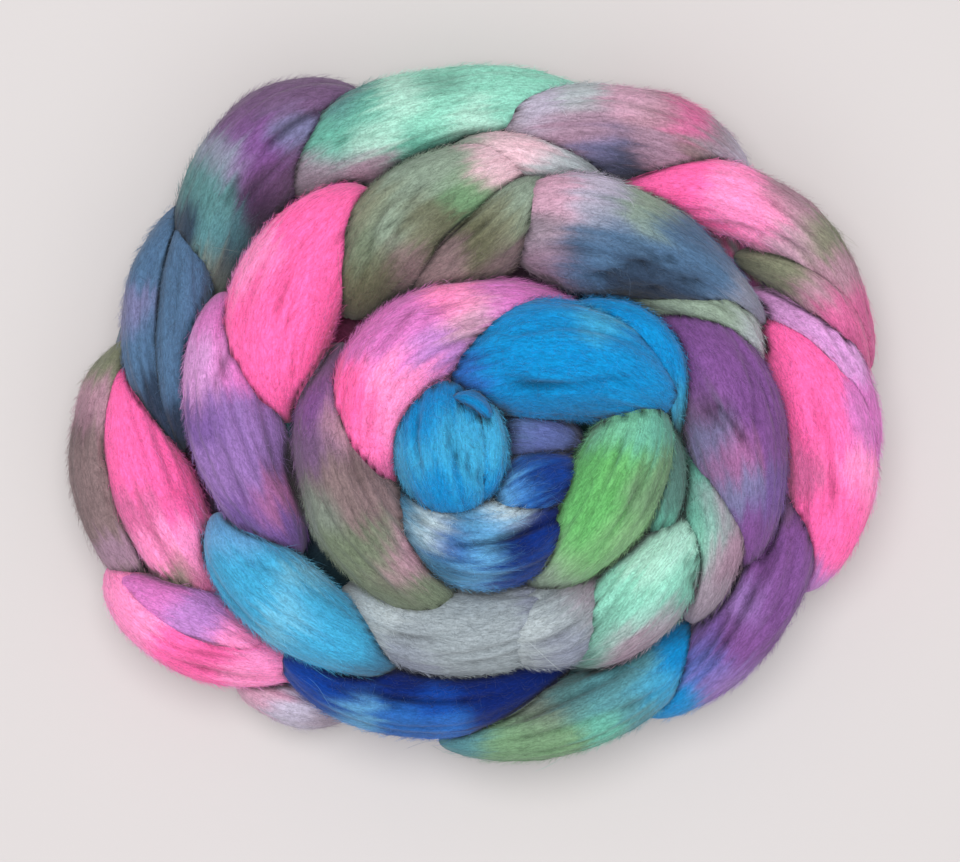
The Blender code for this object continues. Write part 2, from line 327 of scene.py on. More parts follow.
SECOND_FOLDS = (
    Fold("cyan_low", (-70, -33, 42), (-52, -53, 50), (-25, -70, 45), 12, 15, 0.45, 0.46),
    Fold("violet_left", (-70, 29, 44), (-66, -6, 50), (-51, -38, 47), 13, 16, 0.5, 0.46),
    Fold("hot_pink", (-54, -1, 46), (-52, 30, 52), (-32, 58, 49), 15.5, 18, 0.5, 0.46),
    Fold("olive_top", (-34, 29, 47), (-17, 52, 50), (14, 68, 46), 15, 18, 0.45, 0.5),
    Fold("olive_top_inner", (-18, 33, 48), (2, 46, 52), (18, 62, 48), 10.5, 14, 0.5, 0.42),
    Fold("olive_top_band", (-8, 71, 44), (13, 70, 45), (36, 64, 40), 6, 9),
    Fold("slate_right", (14, 49, 45), (42, 46, 50), (78, 27, 43), 16, 19, 0.32, 0.6),
    Fold("slate_right_band", (44, 32, 43), (64, 28, 46), (79, 15, 41), 7, 11),
    Fold("purple_right", (55, 25, 43), (71, -3, 49), (75, -42, 44), 14, 17, 0.45, 0.5),
    Fold("mint_low_band", (61, -12, 43), (66, -33, 48), (61, -57, 46), 9, 12),
    Fold("mint_low", (60, -31, 46), (46, -51, 51), (28, -68, 47), 11.5, 15, 0.5, 0.46),
    Fold("grey_low", (-34, -53, 42), (-2, -61, 47), (33, -52, 45), 12.5, 16, 0.45, 0.45),
    Fold("grey_low_end", (3, -61, 45), (21, -60, 49), (34, -49, 45), 11.5, 15, 0.55, 0.5),
)
INNER_FOLDS = (
    Fold("olive_left", (-38, 14, 48), (-34, -24, 57), (-7, -55, 52), 13, 16, 0.5, 0.46),
    Fold("pink_inner", (-24, -25, 53), (-20, 13, 59), (25, 26, 54), 14, 17, 0.5, 0.46),
    Fold("azure_inner", (-7, 9, 55), (24, 13, 60), (54, 2, 53), 16.5, 19, 0.45, 0.48),
    Fold("azure_inner_band", (27, 27, 55), (48, 18, 58), (55, -7, 52), 6.5, 9),
    Fold("lime_inner_band", (47, 2, 48), (52, -17, 53), (49, -37, 48), 6, 9),
    Fold("lime_inner", (46, 3, 52), (38, -21, 57), (18, -47, 51), 13.5, 17),
    Fold("blue_inner", (-25, -22, 53), (2, -36, 59), (27, -24, 53), 13, 16),
    Fold("blue_inner_corner", (4, -29, 56), (16, -22, 58), (28, -18, 53), 9.5, 13, 0.5, 0.45),
)
KNOT_FOLDS = (
    Fold("periwinkle_tuck", (3, -6, 52), (15, -6, 55), (28, -9, 51), 8, 11),
    Fold("cyan_knot", (-8, 6, 59), (-7, -11, 62), (-3, -28, 59), 15, 18, 0.5, 0.45),
    Fold("cyan_knot_side", (0, 4, 65), (4, -10, 68), (0, -26, 65), 5.5, 8),
    Fold("cyan_knot_curl", (-5, 3, 70), (0, 2, 72), (4, -2, 69), 2.5, 6),
    Fold("teal_tuck", (-52, 5, 39), (-53, -4, 41), (-50, -13, 39), 4, 7),
)

DYE_SPOTS: dict[str, tuple[Spot, ...]] = {
    "tail": (
        (-62, -78, Dye.DUSTY_PINK), (-50, -84, Dye.PALE_LAVENDER), (-40, -87, Dye.GREY_MAUVE),
    ),
    "blush_low": (
        (-95, -60, Dye.PINK), (-79, -68, Dye.HOT_PINK), (-60, -71, Dye.PINK), (-96, -50, Dye.PINK),
        (-69, -62, Dye.HOT_PINK),
    ),
    "lilac_low": (
        (-90, -50, Dye.ORCHID), (-76, -55, Dye.LILAC), (-64, -61, Dye.PINK), (-57, -66, Dye.PINK),
    ),
    "umber_left": (
        (-101, 12, Dye.OLIVE), (-108, 2, Dye.DUSTY_MAUVE), (-108, -11, Dye.UMBER),
        (-105, -28, Dye.UMBER), (-97, -42, Dye.MAUVE), (-91, -48, Dye.OLIVE),
    ),
    "fuchsia_left": (
        (-96, 6, Dye.HOT_PINK), (-87, -11, Dye.HOT_PINK), (-81, -22, Dye.HOT_PINK),
        (-75, -41, Dye.PINK), (-95, -16, Dye.HOT_PINK), (-93, -27, Dye.ROSE), (-88, -39, Dye.PINK),
        (-82, -48, Dye.OLIVE), (-74, -50, Dye.ROSE),
    ),
    "slate_left_outer": (
        (-85, 50, Dye.SLATE), (-92, 42, Dye.SLATE), (-96, 28, Dye.DUSK), (-95, 14, Dye.SLATE),
        (-90, 23, Dye.SLATE), (-87, 3, Dye.DARK_SLATE), (-84, -7, Dye.DARK_SLATE),
    ),
    "slate_left_inner": (
        (-80, 48, Dye.SLATE), (-77, 33, Dye.SLATE), (-80, 21, Dye.SLATE), (-81, 7, Dye.SLATE),
        (-82, -5, Dye.DARK_SLATE),
    ),
    "plum_top": (
        (-40, 89, Dye.PLUM), (-54, 87, Dye.PLUM), (-65, 82, Dye.PLUM), (-50, 78, Dye.DUSK),
        (-59, 68, Dye.PURPLE), (-69, 71, Dye.STEEL), (-75, 62, Dye.SEA_TEAL), (-71, 53, Dye.SEA_TEAL),
        (-58, 55, Dye.DARK_PLUM), (-73, 40, Dye.OLIVE_GREY), (-65, 40, Dye.DARK_SLATE), (-47, 68, Dye.PLUM),
        (-80, 51, Dye.DARK_SLATE), (-62, 77, Dye.PURPLE), (-56, 63, Dye.PLUM), (-70, 47, Dye.TEAL),
    ),
    "mint_top": (
        (-37, 87, Dye.SEA_TEAL), (-31, 83, Dye.SEA_GREEN), (-20, 88, Dye.PALE_MINT),
        (-9, 90, Dye.MINT), (7, 92, Dye.MINT), (22, 91, Dye.MINT), (-40, 75, Dye.SEA_GREEN),
        (-28, 75, Dye.PALE_MINT), (-11, 79, Dye.MINT), (-1, 79, Dye.PALE_MINT),
        (-42, 65, Dye.GREY_MAUVE), (-29, 65, Dye.MAUVE), (-15, 70, Dye.SEA_GREEN), (12, 87, Dye.MINT),
    ),
    "mauve_top": (
        (7, 79, Dye.GREY_MAUVE), (19, 84, Dye.PALE_LAVENDER), (30, 88, Dye.PALE_GREY),
        (45, 88, Dye.DUSTY_PINK), (61, 81, Dye.ROSE), (69, 74, Dye.GREY_MAUVE),
        (76, 71, Dye.PALE_LAVENDER), (24, 75, Dye.MAUVE), (35, 69, Dye.DUSK),
        (50, 72, Dye.MAUVE), (41, 66, Dye.DARK_SLATE), (33, 79, Dye.MAUVE), (53, 81, Dye.DUSTY_MAUVE),
        (65, 70, Dye.UMBER),
    ),
    "pink_right": (
        (52, 61, Dye.HOT_PINK), (60, 59, Dye.HOT_PINK), (63, 50, Dye.HOT_PINK), (71, 57, Dye.PINK),
        (80, 51, Dye.PINK), (74, 45, Dye.PINK), (88, 46, Dye.DUSTY_PINK), (95, 49, Dye.OLIVE),
        (88, 57, Dye.DUSTY_MAUVE), (102, 38, Dye.DUSTY_MAUVE), (108, 30, Dye.ROSE),
        (110, 18, Dye.ROSE),
    ),
    "pink_right_band": (
        (87, 38, Dye.OLIVE), (95, 33, Dye.DUSTY_MAUVE), (102, 27, Dye.ROSE), (109, 17, Dye.ROSE),
    ),
    "fuchsia_right": (
        (84, 16, Dye.HOT_PINK), (91, 3, Dye.HOT_PINK), (96, -9, Dye.HOT_PINK),
        (102, -25, Dye.HOT_PINK), (98, -40, Dye.HOT_PINK), (109, -4, Dye.ORCHID), (109, -20, Dye.PINK),
        (94, -48, Dye.LILAC), (89, -15, Dye.ROSE),
    ),
    "fuchsia_right_band": (
        (83, 31, Dye.LAVENDER), (91, 24, Dye.LAVENDER), (102, 14, Dye.LAVENDER), (108, 3, Dye.ORCHID),
        (110, -9, Dye.ORCHID),
    ),
    "violet_low": (
        (89, -25, Dye.PLUM), (86, -36, Dye.PURPLE), (79, -41, Dye.PURPLE),
        (83, -53, Dye.PURPLE), (91, -49, Dye.PURPLE), (74, -52, Dye.VIOLET),
        (74, -64, Dye.PURPLE), (64, -71, Dye.INDIGO), (63, -63, Dye.DEEP_VIOLET), (58, -81, Dye.AZURE),
        (52, -85, Dye.AZURE), (69, -77, Dye.VIOLET),
    ),
    "teal_low": (
        (57, -65, Dye.AZURE), (52, -77, Dye.CYAN), (44, -71, Dye.TEAL), (36, -77, Dye.TEAL),
        (25, -80, Dye.SEA_TEAL), (16, -84, Dye.OLIVE_GREY), (14, -90, Dye.GREEN),
        (7, -93, Dye.GREEN), (24, -94, Dye.GREEN), (36, -91, Dye.SEA_GREEN), (47, -84, Dye.TEAL),
        (-1, -91, Dye.TEAL),
    ),
    "royal_low": (
        (-45, -72, Dye.ROYAL), (-36, -77, Dye.NAVY), (-40, -82, Dye.ROYAL), (-34, -86, Dye.SKY),
        (-20, -88, Dye.BRIGHT_BLUE), (-20, -77, Dye.NAVY), (-9, -81, Dye.ROYAL), (-1, -77, Dye.NAVY),
        (14, -75, Dye.NAVY), (5, -84, Dye.NAVY), (-6, -89, Dye.BRIGHT_BLUE), (19, -73, Dye.NAVY),
    ),
    "cyan_low": (
        (-70, -31, Dye.SKY), (-66, -46, Dye.CYAN), (-57, -51, Dye.CYAN), (-51, -57, Dye.PALE_SKY),
        (-47, -63, Dye.CYAN), (-42, -51, Dye.CYAN), (-33, -62, Dye.CYAN), (-26, -69, Dye.SEA_BLUE),
        (-57, -41, Dye.CYAN), (-46, -44, Dye.PALE_SKY), (-63, -36, Dye.SKY),
    ),
    "violet_left": (
        (-70, 23, Dye.ORCHID), (-73, 15, Dye.LAVENDER), (-64, 12, Dye.ORCHID), (-74, -2, Dye.DEEP_VIOLET),
        (-63, -2, Dye.VIOLET), (-70, -16, Dye.VIOLET), (-57, -13, Dye.VIOLET),
        (-53, -24, Dye.DUSK_ROSE), (-63, -30, Dye.DEEP_VIOLET), (-51, -35, Dye.DEEP_VIOLET),
        (-77, 5, Dye.LAVENDER),
    ),
    "hot_pink": (
        (-33, 57, Dye.HOT_PINK), (-46, 49, Dye.HOT_PINK), (-62, 38, Dye.PINK), (-50, 30, Dye.HOT_PINK),
        (-61, 22, Dye.HOT_PINK), (-41, 22, Dye.HOT_PINK), (-51, 6, Dye.HOT_PINK), (-55, 33, Dye.HOT_PINK),
    ),
    "olive_top": (
        (-28, 57, Dye.OLIVE), (-19, 64, Dye.SAGE), (-9, 67, Dye.SAGE), (-1, 60, Dye.GREEN),
        (-22, 52, Dye.SAGE), (-31, 44, Dye.MOSS), (-25, 35, Dye.DARK_OLIVE), (-14, 50, Dye.OLIVE),
        (-8, 46, Dye.DARK_OLIVE), (-33, 33, Dye.DARK_OLIVE), (-17, 38, Dye.UMBER), (5, 69, Dye.PALE_PINK),
    ),
    "olive_top_inner": (
        (13, 57, Dye.SAGE), (8, 52, Dye.OLIVE), (2, 44, Dye.DARK_OLIVE), (-9, 38, Dye.UMBER),
        (9, 40, Dye.UMBER), (16, 59, Dye.SAGE),
    ),
    "olive_top_band": (
        (-1, 71, Dye.SAGE), (6, 71, Dye.PALE_PINK), (13, 70, Dye.PALE_PINK), (22, 68, Dye.PALE_GREY),
        (31, 66, Dye.PALE_GREY),
    ),
    "slate_right": (
        (21, 57, Dye.DUSTY_PINK), (18, 47, Dye.GREY_MAUVE), (32, 58, Dye.PALE_LAVENDER),
        (35, 53, Dye.STEEL), (46, 54, Dye.SAGE), (27, 40, Dye.SLATE), (38, 45, Dye.SLATE),
        (49, 46, Dye.SLATE), (43, 38, Dye.DARK_SLATE), (59, 40, Dye.SLATE), (67, 37, Dye.SLATE),
        (74, 30, Dye.STEEL), (20, 39, Dye.MAUVE), (57, 34, Dye.DARK_SLATE),
    ),
    "slate_right_band": (
        (49, 30, Dye.SAGE), (60, 29, Dye.SAGE), (71, 25, Dye.SAGE), (77, 19, Dye.PALE_GREY),
    ),
    "purple_right": (
        (59, 21, Dye.PURPLE), (70, 16, Dye.PURPLE), (77, 2, Dye.PURPLE), (64, 8, Dye.PURPLE),
        (64, -8, Dye.DUSK), (71, -12, Dye.DUSK_ROSE), (80, -8, Dye.PURPLE), (81, -24, Dye.DEEP_VIOLET),
        (74, -21, Dye.DUSK), (75, -33, Dye.PURPLE), (60, 0, Dye.PLUM),
    ),
    "mint_low_band": (
        (61, -16, Dye.SEA_GREEN), (62, -27, Dye.SEA_GREEN), (59, -38, Dye.MINT),
        (68, -25, Dye.GREY_MAUVE), (69, -41, Dye.MAUVE), (64, -52, Dye.GREY_MAUVE),
    ),
    "mint_low": (
        (53, -33, Dye.PALE_MINT), (48, -40, Dye.PALE_MINT), (40, -49, Dye.MINT), (45, -54, Dye.MINT),
        (35, -62, Dye.MINT), (51, -59, Dye.GREY_MAUVE), (40, -66, Dye.MAUVE), (29, -68, Dye.GREY_TEAL),
        (56, -46, Dye.MINT), (57, -54, Dye.SEA_GREEN),
    ),
    "grey_low": (
        (-28, -59, Dye.PALE_GREY), (-17, -64, Dye.GREY), (-9, -60, Dye.GREY), (-1, -65, Dye.GREY),
        (8, -54, Dye.GREY), (18, -51, Dye.STEEL), (-19, -68, Dye.STEEL),
    ),
    "grey_low_end": (
        (18, -62, Dye.PALE_GREY), (26, -55, Dye.GREY), (32, -51, Dye.GREY_MAUVE), (24, -66, Dye.STEEL),
    ),
    "olive_left": (
        (-39, 9, Dye.PLUM), (-43, 2, Dye.PURPLE), (-35, -3, Dye.DUSTY_MAUVE), (-44, -11, Dye.PLUM),
        (-38, -19, Dye.UMBER), (-41, -27, Dye.OLIVE_GREY), (-30, -24, Dye.UMBER), (-33, -38, Dye.MOSS),
        (-25, -40, Dye.MOSS), (-19, -42, Dye.DUSTY_MAUVE), (-12, -51, Dye.MOSS),
        (-22, -52, Dye.MOSS), (-37, -43, Dye.MOSS),
    ),
    "pink_inner": (
        (-25, -19, Dye.ROSE), (-29, -8, Dye.HOT_PINK), (-32, 2, Dye.HOT_PINK), (-24, -6, Dye.PINK),
        (-22, 5, Dye.PINK), (-14, 8, Dye.PINK), (-25, 19, Dye.ORCHID), (-17, 24, Dye.ORCHID),
        (-6, 29, Dye.PINK), (-1, 24, Dye.DUSTY_PINK), (7, 30, Dye.ORCHID), (15, 29, Dye.ORCHID),
        (-9, 16, Dye.LILAC),
    ),
    "azure_inner": (
        (-3, 11, Dye.BRIGHT_BLUE), (5, 16, Dye.AZURE), (13, 21, Dye.AZURE), (23, 24, Dye.AZURE),
        (34, 25, Dye.CYAN), (23, 11, Dye.AZURE), (39, 14, Dye.AZURE), (13, 5, Dye.DEEP_AZURE),
        (29, 0, Dye.DEEP_AZURE), (45, 8, Dye.AZURE),
    ),
    "azure_inner_band": (
        (34, 27, Dye.AZURE), (45, 22, Dye.AZURE), (52, 13, Dye.AZURE), (54, 2, Dye.CYAN),
        (54, -5, Dye.TEAL),
    ),
    "lime_inner_band": (
        (50, 0, Dye.GREY_TEAL), (54, -11, Dye.GREY_TEAL), (53, -24, Dye.GREY_TEAL),
        (50, -32, Dye.SEA_GREEN),
    ),
    "lime_inner": (
        (41, -3, Dye.MINT_GREEN), (34, -6, Dye.MINT_GREEN), (31, -16, Dye.LIME), (41, -14, Dye.LIME),
        (45, -6, Dye.SEA_GREEN), (46, -19, Dye.GREEN), (34, -29, Dye.LIME), (39, -35, Dye.PALE_LIME),
        (27, -40, Dye.PALE_LIME), (21, -43, Dye.SAGE), (29, -35, Dye.LIME),
    ),
    "blue_inner": (
        (-21, -24, Dye.SEA_BLUE), (-17, -32, Dye.SEA_BLUE), (-11, -30, Dye.CREAM),
        (-6, -36, Dye.ROYAL), (-9, -41, Dye.SEA_BLUE), (2, -33, Dye.SKY), (7, -23, Dye.CREAM),
        (2, -43, Dye.SKY), (13, -37, Dye.NAVY), (18, -29, Dye.NAVY), (10, -45, Dye.ROYAL),
        (21, -40, Dye.ROYAL), (-2, -29, Dye.SEA_BLUE),
    ),
    "blue_inner_corner": (
        (18, -17, Dye.NAVY), (14, -26, Dye.BRIGHT_BLUE), (7, -23, Dye.SKY), (24, -16, Dye.ROYAL),
        (23, -27, Dye.NAVY), (15, -13, Dye.BRIGHT_BLUE),
    ),
    "periwinkle_tuck": (
        (13, -5, Dye.PERIWINKLE), (22, -8, Dye.PERIWINKLE), (7, -4, Dye.SLATE),
    ),
    "cyan_knot": (
        (-9, 3, Dye.AZURE), (-14, -5, Dye.AZURE), (-6, -8, Dye.CYAN), (-17, -14, Dye.CYAN),
        (-9, -21, Dye.AZURE), (2, -18, Dye.CYAN), (-1, -24, Dye.AZURE),
    ),
    "cyan_knot_side": (
        (5, -2, Dye.CYAN), (7, -10, Dye.CYAN), (5, -21, Dye.AZURE),
    ),
    "cyan_knot_curl": (
        (-1, 3, Dye.DEEP_AZURE),
    ),
    "teal_tuck": (
        (-52, -4, Dye.TEAL),
    ),
}

CREASES: dict[str, tuple[Crease, ...]] = {
    "plum_top": (
        Crease((-41, 84), (-49, 80), (-59, 71), 1.4, 1.8),
        Crease((-65, 64), (-67, 60), (-69, 55), 0.8, 1.5),
    ),
    "slate_right": (
        Crease((29, 34), (44, 39), (57, 41), 1.3, 1.6),
        Crease((45, 32), (53, 34), (63, 35), 1.0, 1.4),
    ),
    "purple_right": (
        Crease((63, 2), (68, -2), (75, -11), 1.4, 1.6),
        Crease((72, 18), (76, 5), (76, -8), 0.7, 1.5),
    ),
    "mint_low": (
        Crease((57, -36), (59, -44), (61, -52), 0.9, 1.5),
    ),
    "royal_low": (
        Crease((-31, -76), (-18, -80), (5, -80), 1.1, 1.5),
    ),
    "umber_left": (
        Crease((-104, -7), (-104, -11), (-103, -16), 0.8, 1.2),
        Crease((-101, -21), (-99, -29), (-95, -37), 1.0, 1.4),
    ),
    "fuchsia_left": (
        Crease((-97, -14), (-91, -32), (-82, -48), 0.8, 1.6),
    ),
    "violet_left": (
        Crease((-65, 18), (-70, 10), (-70, 4), 1.3, 1.6),
        Crease((-72, 0), (-69, -14), (-61, -27), 0.8, 1.8),
    ),
    "cyan_low": (
        Crease((-64, -40), (-56, -43), (-49, -45), 1.0, 1.4),
        Crease((-62, -50), (-49, -57), (-36, -66), 0.7, 1.5),
    ),
    "olive_left": (
        Crease((-42, -23), (-34, -36), (-20, -51), 1.2, 1.6),
        Crease((-33, -8), (-28, -24), (-14, -43), 0.7, 1.6),
    ),
    "fuchsia_right_band": (
        Crease((97, 26), (101, 18), (106, 10), 1.1, 1.4),
    ),
    "fuchsia_right": (
        Crease((91, 9), (97, -8), (99, -30), 0.7, 1.8),
    ),
    "blue_inner": (
        Crease((26, -28), (9, -34), (-9, -37), 1.4, 1.6),
        Crease((-18, -26), (-9, -32), (5, -30), 0.9, 1.4),
    ),
    "cyan_knot": (
        Crease((-9, -7), (-2, -15), (5, -21), 1.1, 1.4),
        Crease((-14, 1), (-16, -8), (-13, -18), 0.6, 1.4),
    ),
    "mauve_top": (
        Crease((13, 76), (35, 79), (58, 75), 0.7, 1.8),
        Crease((24, 84), (41, 86), (60, 78), 0.5, 1.5),
    ),
    "mint_top": (
        Crease((-40, 70), (-19, 80), (4, 89), 0.7, 1.8),
        Crease((-26, 66), (-12, 73), (2, 77), 0.6, 1.6),
    ),
    "violet_low": (
        Crease((84, -30), (77, -49), (63, -74), 1.1, 1.8),
        Crease((88, -33), (87, -49), (75, -66), 0.8, 1.6),
    ),
    "teal_low": (
        Crease((9, -92), (33, -86), (55, -77), 0.9, 1.6),
        Crease((2, -91), (25, -80), (50, -68), 0.6, 1.5),
    ),
    "grey_low": (
        Crease((-12, -67), (7, -65), (24, -56), 0.8, 1.6),
        Crease((-25, -61), (-11, -62), (3, -56), 0.7, 1.5),
    ),
    "pink_inner": (
        Crease((-13, 29), (-24, 16), (-28, -8), 0.6, 1.8),
        Crease((-1, 30), (-14, 22), (-21, 3), 0.7, 1.6),
    ),
    "azure_inner": (
        Crease((4, 7), (24, 6), (45, 10), 1.0, 1.8),
        Crease((7, 18), (23, 22), (40, 19), 0.7, 1.6),
    ),
    "hot_pink": (
        Crease((-40, 51), (-49, 40), (-54, 21), 0.5, 2.0),
        Crease((-47, 30), (-48, 17), (-50, 5), 0.5, 1.6),
    ),
    "pink_right": (
        Crease((55, 52), (75, 50), (96, 41), 0.7, 1.6),
        Crease((63, 64), (83, 57), (101, 41), 0.5, 1.6),
    ),
    "blush_low": (
        Crease((-95, -58), (-82, -67), (-59, -69), 0.7, 1.6),
        Crease((-90, -54), (-78, -62), (-59, -66), 0.6, 1.5),
    ),
    "olive_top": (
        Crease((-22, 58), (-27, 49), (-30, 35), 0.9, 1.6),
        Crease((-12, 64), (-19, 53), (-22, 38), 0.6, 1.6),
    ),
    "lime_inner": (
        Crease((40, -5), (35, -19), (25, -38), 0.8, 1.6),
        Crease((46, -8), (43, -23), (34, -38), 0.6, 1.5),
    ),
    "slate_left_outer": (
        Crease((-87, 47), (-91, 31), (-90, 11), 0.6, 1.4),
    ),
    "olive_top_inner": (
        Crease((15, 57), (5, 48), (-9, 37), 0.6, 1.5),
    ),
}


@dataclass
class NoiseSheet:
    """Smooth seeded heights over a fold's skin, which meet all the way around it."""

    around: int
    along: int
    seed: int

    def __post_init__(self) -> None:
        """Draw the heights at the corners of the sheet."""
        self.around, self.along = max(self.around, 3), max(self.along, 2)
        draw = np.random.default_rng(self.seed)
        self.heights = draw.standard_normal((self.along + 2, self.around)) * 0.6

    def at(self, share: Array, turn: Array) -> Array:
        """Return the heights at places on the skin.

        Args:
            share: shares of the length.
            turn: angles around the line.

        Returns:
            The heights, mostly between -1 and 1.
        """
        row = np.clip(share, 0.0, 1.0) * self.along
        column = np.asarray(turn) / math.tau * self.around
        low_row, low_column = np.floor(row).astype(int), np.floor(column).astype(int)
        down, side = row - low_row, column - low_column
        down, side = down * down * (3.0 - 2.0 * down), side * side * (3.0 - 2.0 * side)
        left, right = low_column % self.around, (low_column + 1) % self.around
        near = self.heights[low_row, left] * (1.0 - side) + self.heights[low_row, right] * side
        far = self.heights[low_row + 1, left] * (1.0 - side) + self.heights[low_row + 1, right] * side
        return near * (1.0 - down) + far * down


@dataclass
class Crowd:
    """All the folds as one coarse skin, which tells how far down between folds a place lies, for the shade
    painted into the wool there.
    """

    folds: tuple[Fold, ...]
    reach: float = 5.0  # how far a place looks around
    clear: float = 0.45  # how far off the skin it looks from
    tilts: tuple[float, float] = (0.6, 1.25)
    spokes: int = 10
    around: int = 28
    along: int = 26

    def __post_init__(self) -> None:
        """Build the coarse skin."""
        shares, turns = np.linspace(*FOLD_ENDS, self.along), np.arange(self.around) / self.around
        share, turn = np.meshgrid(shares, math.tau * turns, indexing="ij")
        points, faces = [], []
        for fold in self.folds:
            base = len(points) * share.size
            points.append(fold.skin(share, turn).reshape(-1, 3))
            for row in range(self.along - 1):
                for column in range(self.around):
                    following = (column + 1) % self.around
                    near, far = base + row * self.around, base + (row + 1) * self.around
                    faces.append((near + column, near + following, far + following, far + column))
        self.tree = BVHTree.FromPolygons(np.concatenate(points).tolist(), faces)

    def openness(self, places: Array, outward: Array) -> Array:
        """Return how much of the room each place sees, from 0 deep in a crevice to 1 on top of a fold.

        Args:
            places: the places, in millimetres.
            outward: the directions out of the skin there.

        Returns:
            The openness of each.
        """
        side = unit(np.cross(outward, RAY_AXIS))
        over = np.cross(outward, side)
        spokes = math.tau * np.arange(self.spokes) / self.spokes
        slant = np.cos(spokes)[:, None] * side[:, None] + np.sin(spokes)[:, None] * over[:, None]
        tilt = np.array(self.tilts)[np.arange(self.spokes) % 2][:, None]
        rays = np.cos(tilt) * outward[:, None] + np.sin(tilt) * slant
        begin = (places + outward * self.clear).tolist()
        seen = np.zeros(len(places))
        for index, (place, fan) in enumerate(zip(begin, rays.tolist())):
            for ray in fan:
                far = self.tree.ray_cast(place, ray, self.reach)[3]
                seen[index] += 1.0 if far is None else far / self.reach
        return seen / rays.shape[1]


SHEET_PITCHES = (  # the sizes around and along a fold of its lumps, locks, ribs, streaks and swirls
    (12.0, 12.0), (5.5, 32.0), (2.4, 15.0), (1.2, 26.0), (8.0, 14.0),
)
COMPANION_OFFSET = (1.8, 3.2)  # how far beside a crease its fainter companions run
COMPANION_STRENGTH = (0.4, 0.8)  # their depth, as a share of its depth
SMALL_CREASES = (  # the range of a small crease's angle, start, length, depth, half width and slant
    (0.0, math.pi), (0.05, 0.5), (0.35, 0.8), (0.2, 0.6), (0.7, 1.2), (-0.35, 0.35),
)
FEWEST_SMALL_CREASES = 3
SMALL_CREASE_SPACING = 35.0  # the girth that brings one more
RELIEF_FADE = 0.6  # how soon the relief fades towards a fold's ends
SMALL_CREASE_WANDER = 0.06  # how far swirls turn a small crease aside
CREASE_WANDER = 0.25  # how far they push a named one aside
CREASE_STEEPNESS = 4.0  # how soon a crease sets in on the side of a fold that faces up
CREASE_BLUNTNESS = 2.2  # how soon it reaches its depth from its ends
CREASE_DEEPER, CREASE_NARROWER = 1.5, 0.8  # its furrow against its row, which allows for the soft wool
LIP, LIP_REACH = 0.3, 3.0  # the raised sides of a furrow, as shares of its depth and half width
STREAK_RUN = 3.0  # how far streaks carry the dye along the fibres
SWIRL_RUN = 2.0  # how far swirls carry it
RIB_DRIFT = 2.0  # how far ribs carry it across them


